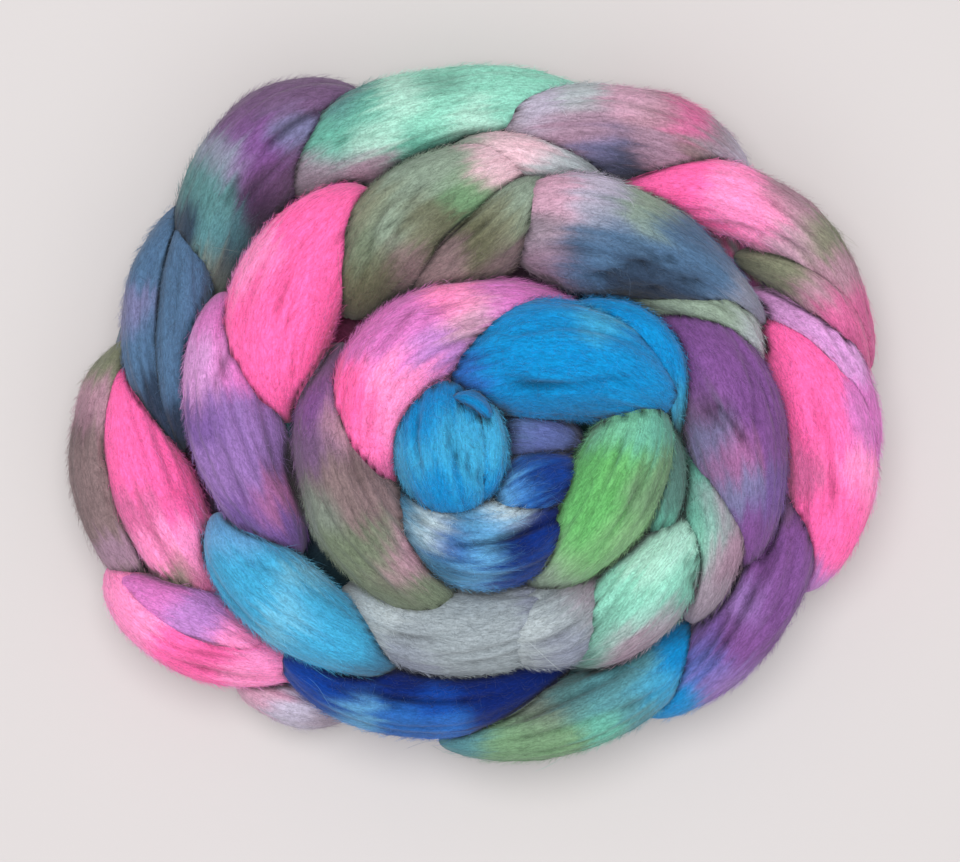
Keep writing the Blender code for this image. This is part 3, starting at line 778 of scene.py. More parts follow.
@dataclass
class Combing:
    """How one fold's wool lies: its lumps, locks and creases, the dyes along it, and the shade painted into
    them in creases and crevices.
    """

    fold: Fold
    seed: int
    crowd: Crowd
    creases: tuple[Crease, ...] = ()
    spots: tuple[Spot, ...] = ()
    spot_reach: float = SPOT_REACH
    crevice_shade: float = CREVICE_SHADE
    lump: float = 0.8
    lock: float = 0.42
    rib: float = 0.2

    def __post_init__(self) -> None:
        """Draw the fold's own lumps, locks and small creases."""
        girth, length = self.fold.girth(), self.fold.length()
        self.lumps, self.locks, self.ribs, self.streaks, self.swirls = (
            NoiseSheet(round(girth / across), round(length / along), self.seed + index)
            for index, (across, along) in enumerate(SHEET_PITCHES)
        )
        draw = np.random.default_rng(self.seed + len(SHEET_PITCHES))
        companions = []
        for crease in self.creases:
            for side in (-1.0, 1.0):
                offset = side * draw.uniform(*COMPANION_OFFSET)
                begin, finish = sorted(draw.uniform(0.0, 1.0, 2))
                strength = draw.uniform(*COMPANION_STRENGTH)
                companions.append(crease.beside(offset, begin, finish, strength))
        self.creases = (*self.creases, *companions)
        self.small_creases = [
            tuple(draw.uniform(low, high) for low, high in SMALL_CREASES)
            for _ in range(FEWEST_SMALL_CREASES + int(girth / SMALL_CREASE_SPACING))
        ]

    def relief(self, share: Array, turn: Array) -> Array:
        """Return how far the combed skin stands out from the smooth one.

        Args:
            share: shares of the length.
            turn: angles around the line.

        Returns:
            The heights, in millimetres.
        """
        full = self.fold.swelling(share)
        height = self.lump * self.lumps.at(share, turn) + self.lock * self.locks.at(share, turn)
        height = (height + self.rib * self.ribs.at(share, turn)) * full**RELIEF_FADE
        swirl = self.swirls.at(share, turn)
        for angle, begin, length, depth, half_width, slant in self.small_creases:
            run = (share - begin) / length
            window = np.where((run > 0.0) & (run < 1.0), np.sin(np.pi * np.clip(run, 0.0, 1.0)), 0.0)
            line = angle + slant * (run - 0.5) + SMALL_CREASE_WANDER * swirl
            apart = (turn - line) * self.fold.half_width * full
            height = height - furrow(apart, depth, half_width) * window
        if self.creases:
            places = (self.fold.skin(share, turn) - CENTRE_SHIFT)[..., :2]
            above = np.clip(self.fold.outward(share, turn)[..., 2] * CREASE_STEEPNESS, 0.0, 1.0)
            for crease in self.creases:
                height = height - self.crease_depth(crease, places, swirl) * above
        return height

    def crease_depth(self, crease: Crease, places: Array, swirl: Array) -> Array:
        """Return how deep a named crease is at places seen from above."""
        line = crease.line()
        apart = np.linalg.norm(places[..., None, :] - line, axis=-1)
        nearest = apart.argmin(-1)
        run = nearest / (len(line) - 1.0)
        window = np.clip(np.sin(np.pi * np.clip(run, 0.02, 0.98)) * CREASE_BLUNTNESS, 0.0, 1.0)
        apart = apart.min(-1) + CREASE_WANDER * swirl
        return furrow(apart, CREASE_DEEPER * crease.depth, CREASE_NARROWER * crease.half_width) * window

    def surface(self, share: Array, turn: Array, lift: Array | float = 0.0) -> Array:
        """Return points on the combed skin, or lifted off it, in millimetres."""
        height = (self.relief(share, turn) + lift)[..., None]
        return self.fold.skin(share, turn) + self.fold.outward(share, turn) * height

    def colour(self, share: Array, turn: Array, shift: Array | float = 0.0) -> Array:
        """Return the wool's dye at places on the skin.

        Args:
            share: shares of the length.
            turn: angles around the line.
            shift: how far along the fibres the dye has run, in millimetres.

        Returns:
            Linear red, green and blue, one row each.
        """
        run = STREAK_RUN * self.streaks.at(share, turn) + SWIRL_RUN * self.swirls.at(share, turn) + shift
        drift = RIB_DRIFT * self.ribs.at(share, turn)
        _, along, across, _ = self.fold.line(share)
        moved = along * np.asarray(run)[..., None] + across * np.asarray(drift)[..., None]
        places = (self.fold.skin(share, turn) - CENTRE_SHIFT + moved)[..., :2]
        return blended_dye(places, self.spots, self.spot_reach)

    def shade(self, share: Array, turn: Array) -> Array:
        """Return the painted shade of the creases and crevices that the wool lies in, as a factor of 1 or less
        on its dye.
        """
        openness = self.crowd.openness(self.fold.skin(share, turn), self.fold.outward(share, turn))
        deep = np.clip((openness - CREVICE_CLOSED) / (CREVICE_OPEN - CREVICE_CLOSED), 0.0, 1.0)
        crease = 1.0 + CREASE_SHADE * (self.relief(share, turn) + CREASE_BEGIN)
        crease = np.clip(crease, CREASE_LEAST, 1.0)
        return (self.crevice_shade + (1.0 - self.crevice_shade) * deep) * crease


def furrow(apart: Array, depth: float, half_width: float) -> Array:
    """Return the depth of a soft furrow, with a slight lip, at distances from its line."""
    lip = LIP * np.exp(-((apart / (LIP_REACH * half_width)) ** 2))
    return depth * ((1.0 + LIP) * np.exp(-((apart / half_width) ** 2)) - lip)


def all_spots() -> tuple[Spot, ...]:
    """Return the spots of dye of every fold."""
    return tuple(spot for group in DYE_SPOTS.values() for spot in group)


def blended_dye(places: Array, spots: tuple[Spot, ...], reach: float) -> Array:
    """Return the dye at places seen from above, blended from the spots around them.

    Args:
        places: the places, in millimetres.
        spots: the spots of dye.
        reach: how softly one dye runs into the next.

    Returns:
        Linear red, green and blue, one row each.
    """
    centres = np.array([spot[:2] for spot in spots], float)
    dyes = np.array([spot[2].albedo() for spot in spots])
    far = ((places[..., None, :] - centres) ** 2).sum(-1) / reach**2
    share = np.exp(far.min(-1, keepdims=True) - far)
    return (share @ dyes) / share.sum(-1, keepdims=True)


def add_node(
    tree: bpy.types.NodeTree, kind: str, sockets: dict[int | str, object], **options: object
) -> bpy.types.Node:
    """Add a shader node.

    Args:
        tree: the node tree to add to.
        kind: the node's kind.
        sockets: for each of its inputs, the value to set or the output to link.
        options: its own settings.

    Returns:
        The node.
    """
    node = tree.nodes.new(f"ShaderNode{kind}")
    for option, value in options.items():
        setattr(node, option, value)
    for socket, value in sockets.items():
        if isinstance(value, bpy.types.NodeSocket):
            tree.links.new(value, node.inputs[socket])
        else:
            node.inputs[socket].default_value = value
    return node


@dataclass(frozen=True)
class Wool:
    """The finish of the combed skin: fine crimped fibres lying along each fold, with a soft bloom.

    Pitches and runs are the fibres' spacing and length, in millimetres.
    """

    name: str = "combed_wool"
    roughness: float = 0.95
    gloss: float = 0.04
    bloom: float = 0.15
    bloom_roughness: float = 0.5
    strand_pitch: float = 0.42
    strand_run: float = 1.9
    lock_pitch: float = 1.1
    lock_run: float = 16.0
    grain_pitch: float = 0.5
    crimp_pitch: float = 1.5
    crimp_size: float = 1.3
    strand_height: float = 0.22
    strand_bump: float = 0.8
    dark: float = 0.72
    light: float = 1.2
    noise_range: tuple[float, float] = (0.4, 0.6)
    detail: float = 2.0
    tint_weights: tuple[float, float, float] = (0.5, 0.3, 0.2)  # of strands, grain and locks
    ridge_weights: tuple[float, float] = (0.7, 0.3)  # of strands and grain

    def make(self) -> bpy.types.Material:
        """Return the material."""
        material = bpy.data.materials.new(self.name)
        material.use_nodes = True
        tree = material.node_tree
        shader = tree.nodes["Principled BSDF"]
        shader.inputs["Roughness"].default_value = self.roughness
        shader.inputs["Specular IOR Level"].default_value = self.gloss
        shader.inputs["Sheen Weight"].default_value = self.bloom
        shader.inputs["Sheen Roughness"].default_value = self.bloom_roughness
        dye = add_node(tree, "Attribute", {}, attribute_name=DYE_LIGHT_AND_SHADE_LAYER)
        self.dress(tree, shader, dye.outputs["Color"])
        return material

    def dress(self, tree: bpy.types.NodeTree, shader: bpy.types.Node, dye: bpy.types.NodeSocket) -> None:
        """Give the shader its fibres: streaks of light and dark in the dye, and fine ridges.

        Args:
            tree: the node tree to add to.
            shader: the material's shader.
            dye: the output that holds the dye.
        """
        strands = self.along_fibres(tree, self.strand_pitch, self.strand_run)
        locks = self.along_fibres(tree, self.lock_pitch, self.lock_run)
        place = add_node(tree, "TexCoord", {}).outputs["Object"]
        fine = {"Scale": 1.0 / (self.grain_pitch * MM), "Detail": self.detail, "Vector": place}
        grain = add_node(tree, "TexNoise", fine).outputs["Fac"]
        low, high = self.noise_range
        levels = {"From Min": low, "From Max": high, "To Min": self.dark, "To Max": self.light}
        levels["Value"] = self.weighed(tree, (strands, grain, locks), self.tint_weights)
        spread = add_node(tree, "MapRange", levels).outputs["Result"]
        tint = add_node(tree, "VectorMath", {0: dye, "Scale": spread}, operation="SCALE")
        tree.links.new(tint.outputs[0], shader.inputs["Base Color"])
        height = self.weighed(tree, (strands, grain), self.ridge_weights)
        ridges = {"Strength": self.strand_bump, "Distance": self.strand_height * MM, "Height": height}
        tree.links.new(add_node(tree, "Bump", ridges).outputs[0], shader.inputs["Normal"])

    def weighed(
        self, tree: bpy.types.NodeTree, noises: tuple[bpy.types.NodeSocket, ...], weights: tuple[float, ...]
    ) -> bpy.types.NodeSocket:
        """Add up noises, each by its own weight.

        Args:
            tree: the node tree to add to.
            noises: the noises' outputs.
            weights: their weights.

        Returns:
            The output of the sum.
        """
        total = 0.0
        for noise, weight in zip(noises, weights):
            sockets = {0: noise, 1: weight, 2: total}
            total = add_node(tree, "Math", sockets, operation="MULTIPLY_ADD").outputs[0]
        return total

    def along_fibres(self, tree: bpy.types.NodeTree, pitch: float, run: float) -> bpy.types.NodeSocket:
        """Add a noise drawn out along the crimped fibres.

        Args:
            tree: the node tree to add to.
            pitch: the noise's width across the fibres, in millimetres.
            run: its length along them.

        Returns:
            The noise's output.
        """
        place = add_node(tree, "UVMap", {}, uv_map=FIBRE_MAP).outputs["UV"]
        crimps = {"Scale": 1.0 / self.crimp_pitch, "Detail": 1.0, "Vector": place}
        crimp = add_node(tree, "TexNoise", crimps).outputs["Color"]
        size = (self.crimp_size, self.crimp_size, 0.0)
        bent = add_node(tree, "VectorMath", {0: crimp, 1: size, 2: place}, operation="MULTIPLY_ADD")
        stretch = {"Vector": bent.outputs[0], "Scale": (1.0 / pitch, 1.0 / run, 1.0)}
        spread = add_node(tree, "Mapping", stretch).outputs["Vector"]
        streaks = {"Scale": 1.0, "Detail": self.detail, "Vector": spread}
        return add_node(tree, "TexNoise", streaks).outputs["Fac"]


@dataclass(frozen=True)
class LooseWool(Wool):
    """The finish of single fibres: each holds one dye along its length."""

    name: str = "loose_wool"

    def dress(self, tree: bpy.types.NodeTree, shader: bpy.types.Node, dye: bpy.types.NodeSocket) -> None:
        """Give the shader the dye alone."""
        tree.links.new(dye, shader.inputs["Base Color"])


def new_piece(name: str, data: bpy.types.Mesh, material: bpy.types.Material) -> bpy.types.Object:
    """Put a finished mesh in the scene as a smooth piece of wool that rides on the coil."""
    data.materials.append(material)
    data.shade_smooth()
    piece = bpy.data.objects.new(name, data)
    bpy.context.scene.collection.objects.link(piece)
    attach(piece, BODY)
    log.info("%s: %d faces", name, len(data.polygons))
    return piece


def add_dye(data: bpy.types.Mesh, colours: Array) -> None:
    """Give each corner point of a mesh its colour: its dye, with painted shade and light multiplied in."""
    layer = data.color_attributes.new(DYE_LIGHT_AND_SHADE_LAYER, "FLOAT_COLOR", "POINT")
    rows = np.concatenate((colours, np.ones((len(colours), 1))), 1).astype(np.float32)
    layer.data.foreach_set("color", rows.ravel())


@dataclass
class FoldSkin:
    """Builds the combed skin of folds from balls that are drawn out along their lines."""

    across_step: float = 0.95
    along_step: float = 1.7
    crowding: float = 0.5  # how much closer the divisions lie on top than underneath
    fewest_around: int = 24
    fewest_along: int = 12

    def counts(self, fold: Fold) -> tuple[int, int]:
        """Return how many divisions a fold has around and along it."""
        around, along = fold.girth() / self.across_step, fold.length() / self.along_step
        return max(self.fewest_around, round(around)), max(self.fewest_along, round(along))

    def add(self, mesh: bmesh.types.BMesh, combing: Combing, floor: float = 0.0) -> tuple[Array, Array]:
        """Add one fold to a bmesh.

        Args:
            mesh: the bmesh to add to.
            combing: the fold and how its wool lies.
            floor: the height below which the fold is pressed flat.

        Returns:
            The dye with its painted shade, and the place on the fibre map, of each new corner point.
        """
        fold = combing.fold
        around, along = self.counts(fold)
        made = bmesh.ops.create_uvsphere(mesh, u_segments=around, v_segments=along, radius=1.0)
        ball = np.array([vert.co for vert in made["verts"]])
        share = np.clip(0.5 * (1.0 + ball[:, 2]), 0.0, 1.0)
        turn = np.arctan2(ball[:, 1], ball[:, 0])
        turn = np.where(turn < SEAM, turn + math.tau, turn)
        turn = turn + self.crowding * np.cos(turn)
        places = combing.surface(share, turn)
        places[:, 2] = np.maximum(places[:, 2], floor)
        for vert, place in zip(made["verts"], places * MM):
            vert.co = place
        pole = np.hypot(ball[:, 0], ball[:, 1]) < POLE
        across = np.where(pole, np.nan, turn * fold.girth() / math.tau)
        # painted shade: each dye is darkened where the wool lies in a crease or between folds
        dyes = combing.colour(share, turn) * combing.shade(share, turn)[:, None]
        return dyes, np.stack((across, share * fold.length()), 1)

    def finish(self, mesh: bmesh.types.BMesh, name: str, dyes: Array, fibres: Array) -> bpy.types.Mesh:
        """Turn a bmesh of folds into a mesh with its dye and its fibre map."""
        data = bpy.data.meshes.new(name)
        mesh.to_mesh(data)
        mesh.free()
        add_dye(data, dyes)
        corner = np.empty(len(data.loops), np.int32)
        data.loops.foreach_get("vertex_index", corner)
        first = np.empty(len(data.polygons), np.int32)
        data.polygons.foreach_get("loop_start", first)
        size = np.diff(np.append(first, len(corner)))
        face = np.repeat(np.arange(len(first)), size)
        place = fibres[corner]
        blank = np.isnan(place[:, 0])
        widest = np.maximum.reduceat(np.where(blank, -np.inf, place[:, 0]), first)[face]
        lowest = np.minimum.reduceat(np.where(blank, np.inf, place[:, 0]), first)[face]
        girth = np.nanmax(fibres[:, 0]) - np.nanmin(fibres[:, 0])
        wraps = widest - lowest > 0.5 * girth
        near_side = wraps & (place[:, 0] < 0.5 * (widest + lowest))
        place[:, 0] = np.where(near_side, place[:, 0] + girth, place[:, 0])
        total = np.add.reduceat(np.where(blank, 0.0, place[:, 0]), first)
        mean = (total / np.add.reduceat((~blank).astype(float), first))[face]
        place[:, 0] = np.where(blank, mean, place[:, 0])
        layer = data.uv_layers.new(name=FIBRE_MAP)
        layer.data.foreach_set("uv", place.astype(np.float32).ravel())
        return data


@dataclass(frozen=True)
class FibreStyle:
    """A kind of loose fibre: how long and thick it is, how it lies and how far it stands off."""

    shortest: float
    longest: float
    half_thickness: float
    slant: float
    waver: float
    low_lift: float
    high_lift: float
    standing: bool
    joints: int
    edge_share: float = 0.0  # the share of them that stand along the sides of a fold
    least_shade: float = 0.12  # how much of its dye's lightness a fibre keeps under the painted crevice and crease shade
    painted_sheen: float = 0.0  # painted sheen: how much paler than its dye a fibre is painted, for the whitish haze of light on loose fibres


LYING = FibreStyle(4.0, 9.0, 0.036, 0.42, 0.5, 0.05, 0.35, False, 2)
STANDING = FibreStyle(1.6, 4.6, 0.038, 1.1, 0.7, 0.5, 2.1, True, 1, 0.5, 0.15, 0.02)
WISPS = FibreStyle(7.0, 15.0, 0.034, 0.9, 1.6, 1.0, 4.5, True, 4, 0.4, 0.5, 0.04)


@dataclass
class FibreCoat:
    """The loose fibres over a group of folds, as one mesh."""

    name: str
    combings: list[Combing]
    buried: BVHTree
    material: bpy.types.Material
    seed: int
    bury_depth: float = 0.9  # how far under the solid's skin a root may lie
    tries: int = 6  # how many roots are drawn for each fibre that is wanted
    top_share: float = 0.7  # the share of them on the face of a fold
    top_margin: float = 0.35  # how far past its sides the face of a fold reaches, in radians
    side_spread: float = 0.3  # how far off a fold's sides those meant for them lie, in radians
    least_full: float = 0.25  # the least that a fold's swelling counts for in how fibres turn around it
    waves: tuple[float, float] = (2.0, 7.0)  # how far a fibre's wave runs on from root to tip
    root_ends: tuple[float, float] = (0.03, 0.97)  # the shares of a fold's length that roots keep to
    standing_root: float = 0.05  # how deep a standing fibre's root lies
    lying_root: float = 0.04
    bow: float = 1.3  # the power by which a standing fibre rises from its root
    painted_light_and_tone: tuple[float, float] = (1.25, 0.28)  # painted light: how much lighter than the skin fibres are painted, for the light that they let through, and how unlike they are at random
    least_tone: float = 0.4
    dye_run: float = 2.0  # how far along the fold a fibre brings its dye from
    palest: float = 0.98
    places: list[Array] = field(default_factory=list)
    colours: list[Array] = field(default_factory=list)
    joints: list[int] = field(default_factory=list)

    def scatter(self, style: FibreStyle, count: int) -> None:
        """Lay fibres of one style over the folds, in proportion to their skin.

        Args:
            style: the kind of fibre.
            count: how many to lay.
        """
        weight = np.array([comb.fold.girth() * comb.fold.length() for comb in self.combings])
        shares = np.round(count * weight / weight.sum()).astype(int)
        draw = np.random.default_rng(self.seed + style.joints)
        for comb, wanted in zip(self.combings, shares):
            if wanted:
                self.lay(comb, style, int(wanted), draw)

    def roots(
        self, comb: Combing, style: FibreStyle, wanted: int, draw: np.random.Generator
    ) -> tuple[Array, Array]:
        """Choose where fibres leave one fold, where they would show.

        Args:
            comb: the fold and how its wool lies.
            style: the kind of fibre.
            wanted: how many roots to choose, if there is room.
            draw: the seeded source of chance.

        Returns:
            Their shares of the fold's length, and their angles around it.
        """
        tries = wanted * self.tries
        share = draw.uniform(*self.root_ends, tries)
        top = draw.uniform(size=tries) < self.top_share
        face = draw.uniform(-self.top_margin, math.pi + self.top_margin, tries)
        turn = np.where(top, face, draw.uniform(0.0, math.tau, tries))
        sides = np.where(draw.uniform(size=tries) < 0.5, 0.0, math.pi)
        sides = sides + draw.normal(0.0, self.side_spread, tries)
        turn = np.where(draw.uniform(size=tries) < style.edge_share, sides, turn)
        keep = draw.uniform(size=tries) < comb.fold.swelling(share)
        share, turn = share[keep], turn[keep]
        seen = np.array([self.shows(place) for place in comb.surface(share, turn) * MM], bool)
        return share[seen][:wanted], turn[seen][:wanted]

    def lay(self, comb: Combing, style: FibreStyle, wanted: int, draw: np.random.Generator) -> None:
        """Lay fibres of one style on one fold."""
        fold = comb.fold
        share, turn = self.roots(comb, style, wanted, draw)
        count = len(share)
        if count == 0:
            return
        length = draw.uniform(style.shortest, style.longest, count)[:, None]
        slant = draw.normal(0.0, style.slant, count)[:, None]
        reach = np.linspace(-0.5, 0.5, style.joints + 2)[None, :]
        if style.standing:
            reach = reach + 0.5
        radius = 0.5 * (fold.half_width + fold.half_height)
        radius = radius * np.maximum(fold.swelling(share), self.least_full)[:, None]
        onward = share[:, None] + reach * length * np.cos(slant) / fold.length()
        phase = draw.uniform(0.0, math.tau, count)[:, None]
        sway = style.waver * np.sin(phase + reach * draw.uniform(*self.waves, count)[:, None])
        turned = turn[:, None] + (reach * length * np.sin(slant) + sway) / radius
        onward = np.clip(onward, *FOLD_ENDS)
        lift = draw.uniform(style.low_lift, style.high_lift, count)[:, None]
        if style.standing:
            rise = lift * reach**self.bow - self.standing_root
        else:
            rise = lift * np.cos(math.pi * reach) - self.lying_root
        path = comb.surface(onward, turned, rise)
        path[..., 2] = np.maximum(path[..., 2], 2.0 * style.half_thickness)
        # Painted light and shade: each fibre is painted lighter than its dye, darkened by the painted crevice
        # shade where it leaves the skin, and paled by its painted sheen.
        painted_light_and_tone = np.maximum(draw.normal(*self.painted_light_and_tone, count), self.least_tone)[:, None]
        shade = np.maximum(comb.shade(share, turn), style.least_shade)[:, None]
        dye = comb.colour(share, turn, draw.normal(0.0, self.dye_run, count)) * shade
        self.add_spindles(path, style, np.clip(dye * painted_light_and_tone + style.painted_sheen, 0.0, self.palest))

    def shows(self, spot: Array) -> bool:
        """Say whether a place, in metres, is on or near the outside of the coil."""
        near, normal, _, _ = self.buried.find_nearest(Vector(spot))
        return (Vector(spot) - near).dot(normal) > -self.bury_depth * MM

    def add_spindles(self, path: Array, style: FibreStyle, dye: Array) -> None:
        """Turn fibres' paths into thin three-sided spindles with fine ends.

        Args:
            path: the points of each fibre, in millimetres.
            style: the kind of fibre.
            dye: the colour of each.
        """
        along = unit(np.gradient(path, axis=1))
        side = unit(np.cross(along, SPINDLE_AXIS))
        over = np.cross(side, along)
        angles = math.tau * np.arange(3) / 3.0
        ring = side[:, :, None] * np.cos(angles)[:, None] + over[:, :, None] * np.sin(angles)[:, None]
        body = path[:, 1:-1, None] + ring[:, 1:-1] * style.half_thickness
        count = len(path)
        points = np.concatenate((path[:, :1], body.reshape(count, -1, 3), path[:, -1:]), 1)
        self.places.append(points.reshape(-1, 3))
        self.colours.append(np.repeat(dye, points.shape[1], 0))
        self.joints.extend([style.joints] * count)

    def build(self) -> bpy.types.Object:
        """Join all the fibres that were laid into one piece.

        Returns:
            The piece.
        """
        joints = np.array(self.joints)
        side = math.ceil(math.sqrt(len(joints)))
        corners, totals, cells, offset, done = [], [], [], 0, 0
        for kind in sorted(set(self.joints), key=self.joints.index):
            number = done + np.arange((joints == kind).sum())
            starts = offset + (2 + 3 * kind) * (number - done)
            cell = np.stack((number % side, number // side), -1)
            for faces, places in spindle_faces(kind):
                corners.append((starts[:, None, None] + faces).ravel())
                totals.append(np.full(len(number) * len(faces), faces.shape[1]))
                cells.append(((cell[:, None, None] + places) / side).ravel())
            offset += (2 + 3 * kind) * len(number)
            done += len(number)
        data = bpy.data.meshes.new(self.name)
        points = np.concatenate(self.places) * MM
        data.vertices.add(len(points))
        data.vertices.foreach_set("co", points.astype(np.float32).ravel())
        corner, total = np.concatenate(corners).astype(np.int32), np.concatenate(totals).astype(np.int32)
        data.loops.add(len(corner))
        data.loops.foreach_set("vertex_index", corner)
        data.polygons.add(len(total))
        first = np.cumsum(total) - total
        data.polygons.foreach_set("loop_start", first.astype(np.int32))
        data.update(calc_edges=True)
        data.uv_layers.new(name=CELL_MAP).data.foreach_set("uv", np.concatenate(cells).astype(np.float32))
        add_dye(data, np.concatenate(self.colours))
        return new_piece(self.name, data, self.material)


def spindle_faces(joints: int) -> list[tuple[Array, Array]]:
    """Return the faces of one three-sided spindle, as corner numbers from its first end to its last.

    Args:
        joints: how many rings of three corner points it has between its ends.

    Returns:
        The end triangles and the side quads, each with its corners' places on a cell of its own.
    """
    last = 1 + 3 * joints
    ends, sides, end_places, side_places = [], [], [], []
    for side in range(3):
        following = (side + 1) % 3
        left, middle, right = ((side + part) / 3.0 for part in (0.1, 0.5, 0.9))
        heights = np.linspace(0.05, 0.95, joints + 2)
        ends.append((0, 1 + side, 1 + following))
        end_places.append(((middle, heights[0]), (left, heights[1]), (right, heights[1])))
        ends.append((last, last - 3 + following, last - 3 + side))
        end_places.append(((middle, heights[-1]), (right, heights[-2]), (left, heights[-2])))
        for ring in range(joints - 1):
            low = 1 + 3 * ring
            near, far = heights[ring + 1], heights[ring + 2]
            sides.append((low + side, low + 3 + side, low + 3 + following, low + following))
            side_places.append(((left, near), (left, far), (right, far), (right, near)))
    groups = [(ends, end_places), (sides, side_places)]
    return [(np.array(faces), np.array(places)) for faces, places in groups if faces]


FibreCounts = dict[FibreStyle, int]


@dataclass(frozen=True)
class Workshop:
    """What every group of folds is dressed with: the finishes, the solid, and all the folds together."""

    wool: bpy.types.Material
    loose: bpy.types.Material
    buried: BVHTree
    crowd: Crowd

    def lay_fibres(self, name: str, combings: list[Combing], seed: int, counts: FibreCounts) -> None:
        """Lay a coat of loose fibres over a group of folds.

        Args:
            name: the coat's name.
            combings: the folds and how their wool lies.
            seed: the group's seed.
            counts: how many fibres of each style to lay.
        """
        coat = FibreCoat(name, combings, self.buried, self.loose, seed + FIBRE_SEED)
        for style, count in counts.items():
            coat.scatter(style, count)
        coat.build()


@dataclass
class TurnOfFolds:
    """One turn of the coil: its folds, and the loose fibres over them."""

    name: str
    folds: tuple[Fold, ...]
    seed: int
    fibres: FibreCounts
    combings: list[Combing] = field(default_factory=list)

    def build(self, shop: Workshop) -> None:
        """Build every fold and the fibres."""
        skin = FoldSkin()
        for index, fold in enumerate(self.folds):
            creases, spots = CREASES.get(fold.name, ()), DYE_SPOTS[fold.name]
            comb = Combing(fold, self.seed + SEED_STEP * index, shop.crowd, creases, spots)
            comb.crevice_shade = SOFT_SHADES.get(fold.name, CREVICE_SHADE)
            self.combings.append(comb)
            mesh = bmesh.new()
            dyes, fibres = skin.add(mesh, comb)
            name = f"fold_{fold.name}"
            piece = new_piece(name, skin.finish(mesh, name, dyes, fibres), shop.wool)
            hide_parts(SOLID_NODE)
        shop.lay_fibres(f"fibres_{self.name}", self.combings, self.seed, self.fibres)


@dataclass(frozen=True)
class BackRing:
    """One ring of slanting folds on the coil's hidden back."""

    name: str
    count: int
    reach_x: float
    reach_y: float
    span: float
    lean: float


@dataclass
class CoilBack:
    """The coil's back, which it lies on: rings of slanting folds pressed level underneath."""

    rings: tuple[BackRing, ...] = (
        BackRing("back_outer", 16, 93.0, 77.0, 38.0, 7.0),
        BackRing("back_second", 11, 64.0, 50.0, 54.0, 8.0),
        BackRing("back_first", 6, 33.0, 24.0, 92.0, 8.0),
    )
    low: float = 8.0
    high: float = 15.0
    half_width: float = 12.0
    half_height: float = 13.0
    knot_half_length: float = 20.0
    seed: int = 9100
    rest_step: float = 0.06  # how much higher each fold rests than the last, so that no faces coincide
    rest_levels: int = 4

    def ring_folds(self, ring: BackRing) -> list[Fold]:
        """Return the folds of one ring."""
        half_span = math.radians(0.5 * ring.span)
        folds = []
        for index in range(ring.count):
            angle = math.tau * index / ring.count

            def place(turn: float, lean: float, height: float) -> Point:
                """Return a point of the ring, moved outwards by a lean."""
                return (
                    (ring.reach_x + lean) * math.cos(turn),
                    (ring.reach_y + lean) * math.sin(turn),
                    height,
                )

            folds.append(
                Fold(
                    f"{ring.name}_{index + 1:02d}",
                    place(angle - half_span, -ring.lean, self.low),
                    place(angle, 0.0, 0.5 * (self.low + self.high)),
                    place(angle + half_span, ring.lean, self.high),
                    self.half_width,
                    self.half_height,
                )
            )
        return folds

    def knot(self) -> Fold:
        """Return the fold in the middle of the back."""
        reach = self.knot_half_length
        return Fold(
            "back_knot",
            (-reach, 0.0, self.low),
            (0.0, 0.0, self.low),
            (reach, 0.0, self.low),
            self.half_width,
            self.half_height,
        )

    def folds(self) -> tuple[Fold, ...]:
        """Return all the folds of the back."""
        return (*(fold for ring in self.rings for fold in self.ring_folds(ring)), self.knot())

    def build(self, shop: Workshop) -> None:
        """Build each ring as one piece, and the fibres over them all."""
        spots = all_spots()
        skin = FoldSkin(across_step=1.7, along_step=3.2, crowding=0.0)
        groups = [(ring.name, self.ring_folds(ring)) for ring in self.rings]
        groups.append(("back_knot", [self.knot()]))
        combings = []
        for name, folds in groups:
            mesh = bmesh.new()
            dyes, fibres = [], []
            for index, fold in enumerate(folds):
                seed = self.seed + SEED_STEP * len(combings)
                comb = Combing(fold, seed, shop.crowd, (), spots, DEEP_SPOT_REACH, BACK_SHADE)
                combings.append(comb)
                dye, fibre = skin.add(mesh, comb, self.rest_step * (index % self.rest_levels))
                dyes.append(dye)
                fibres.append(fibre)
            data = skin.finish(mesh, name, np.concatenate(dyes), np.concatenate(fibres))
            piece = new_piece(name, data, shop.wool)
            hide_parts(SOLID_NODE)
        shop.lay_fibres("fibres_back", combings, self.seed, {LYING: 4500, STANDING: 3500})


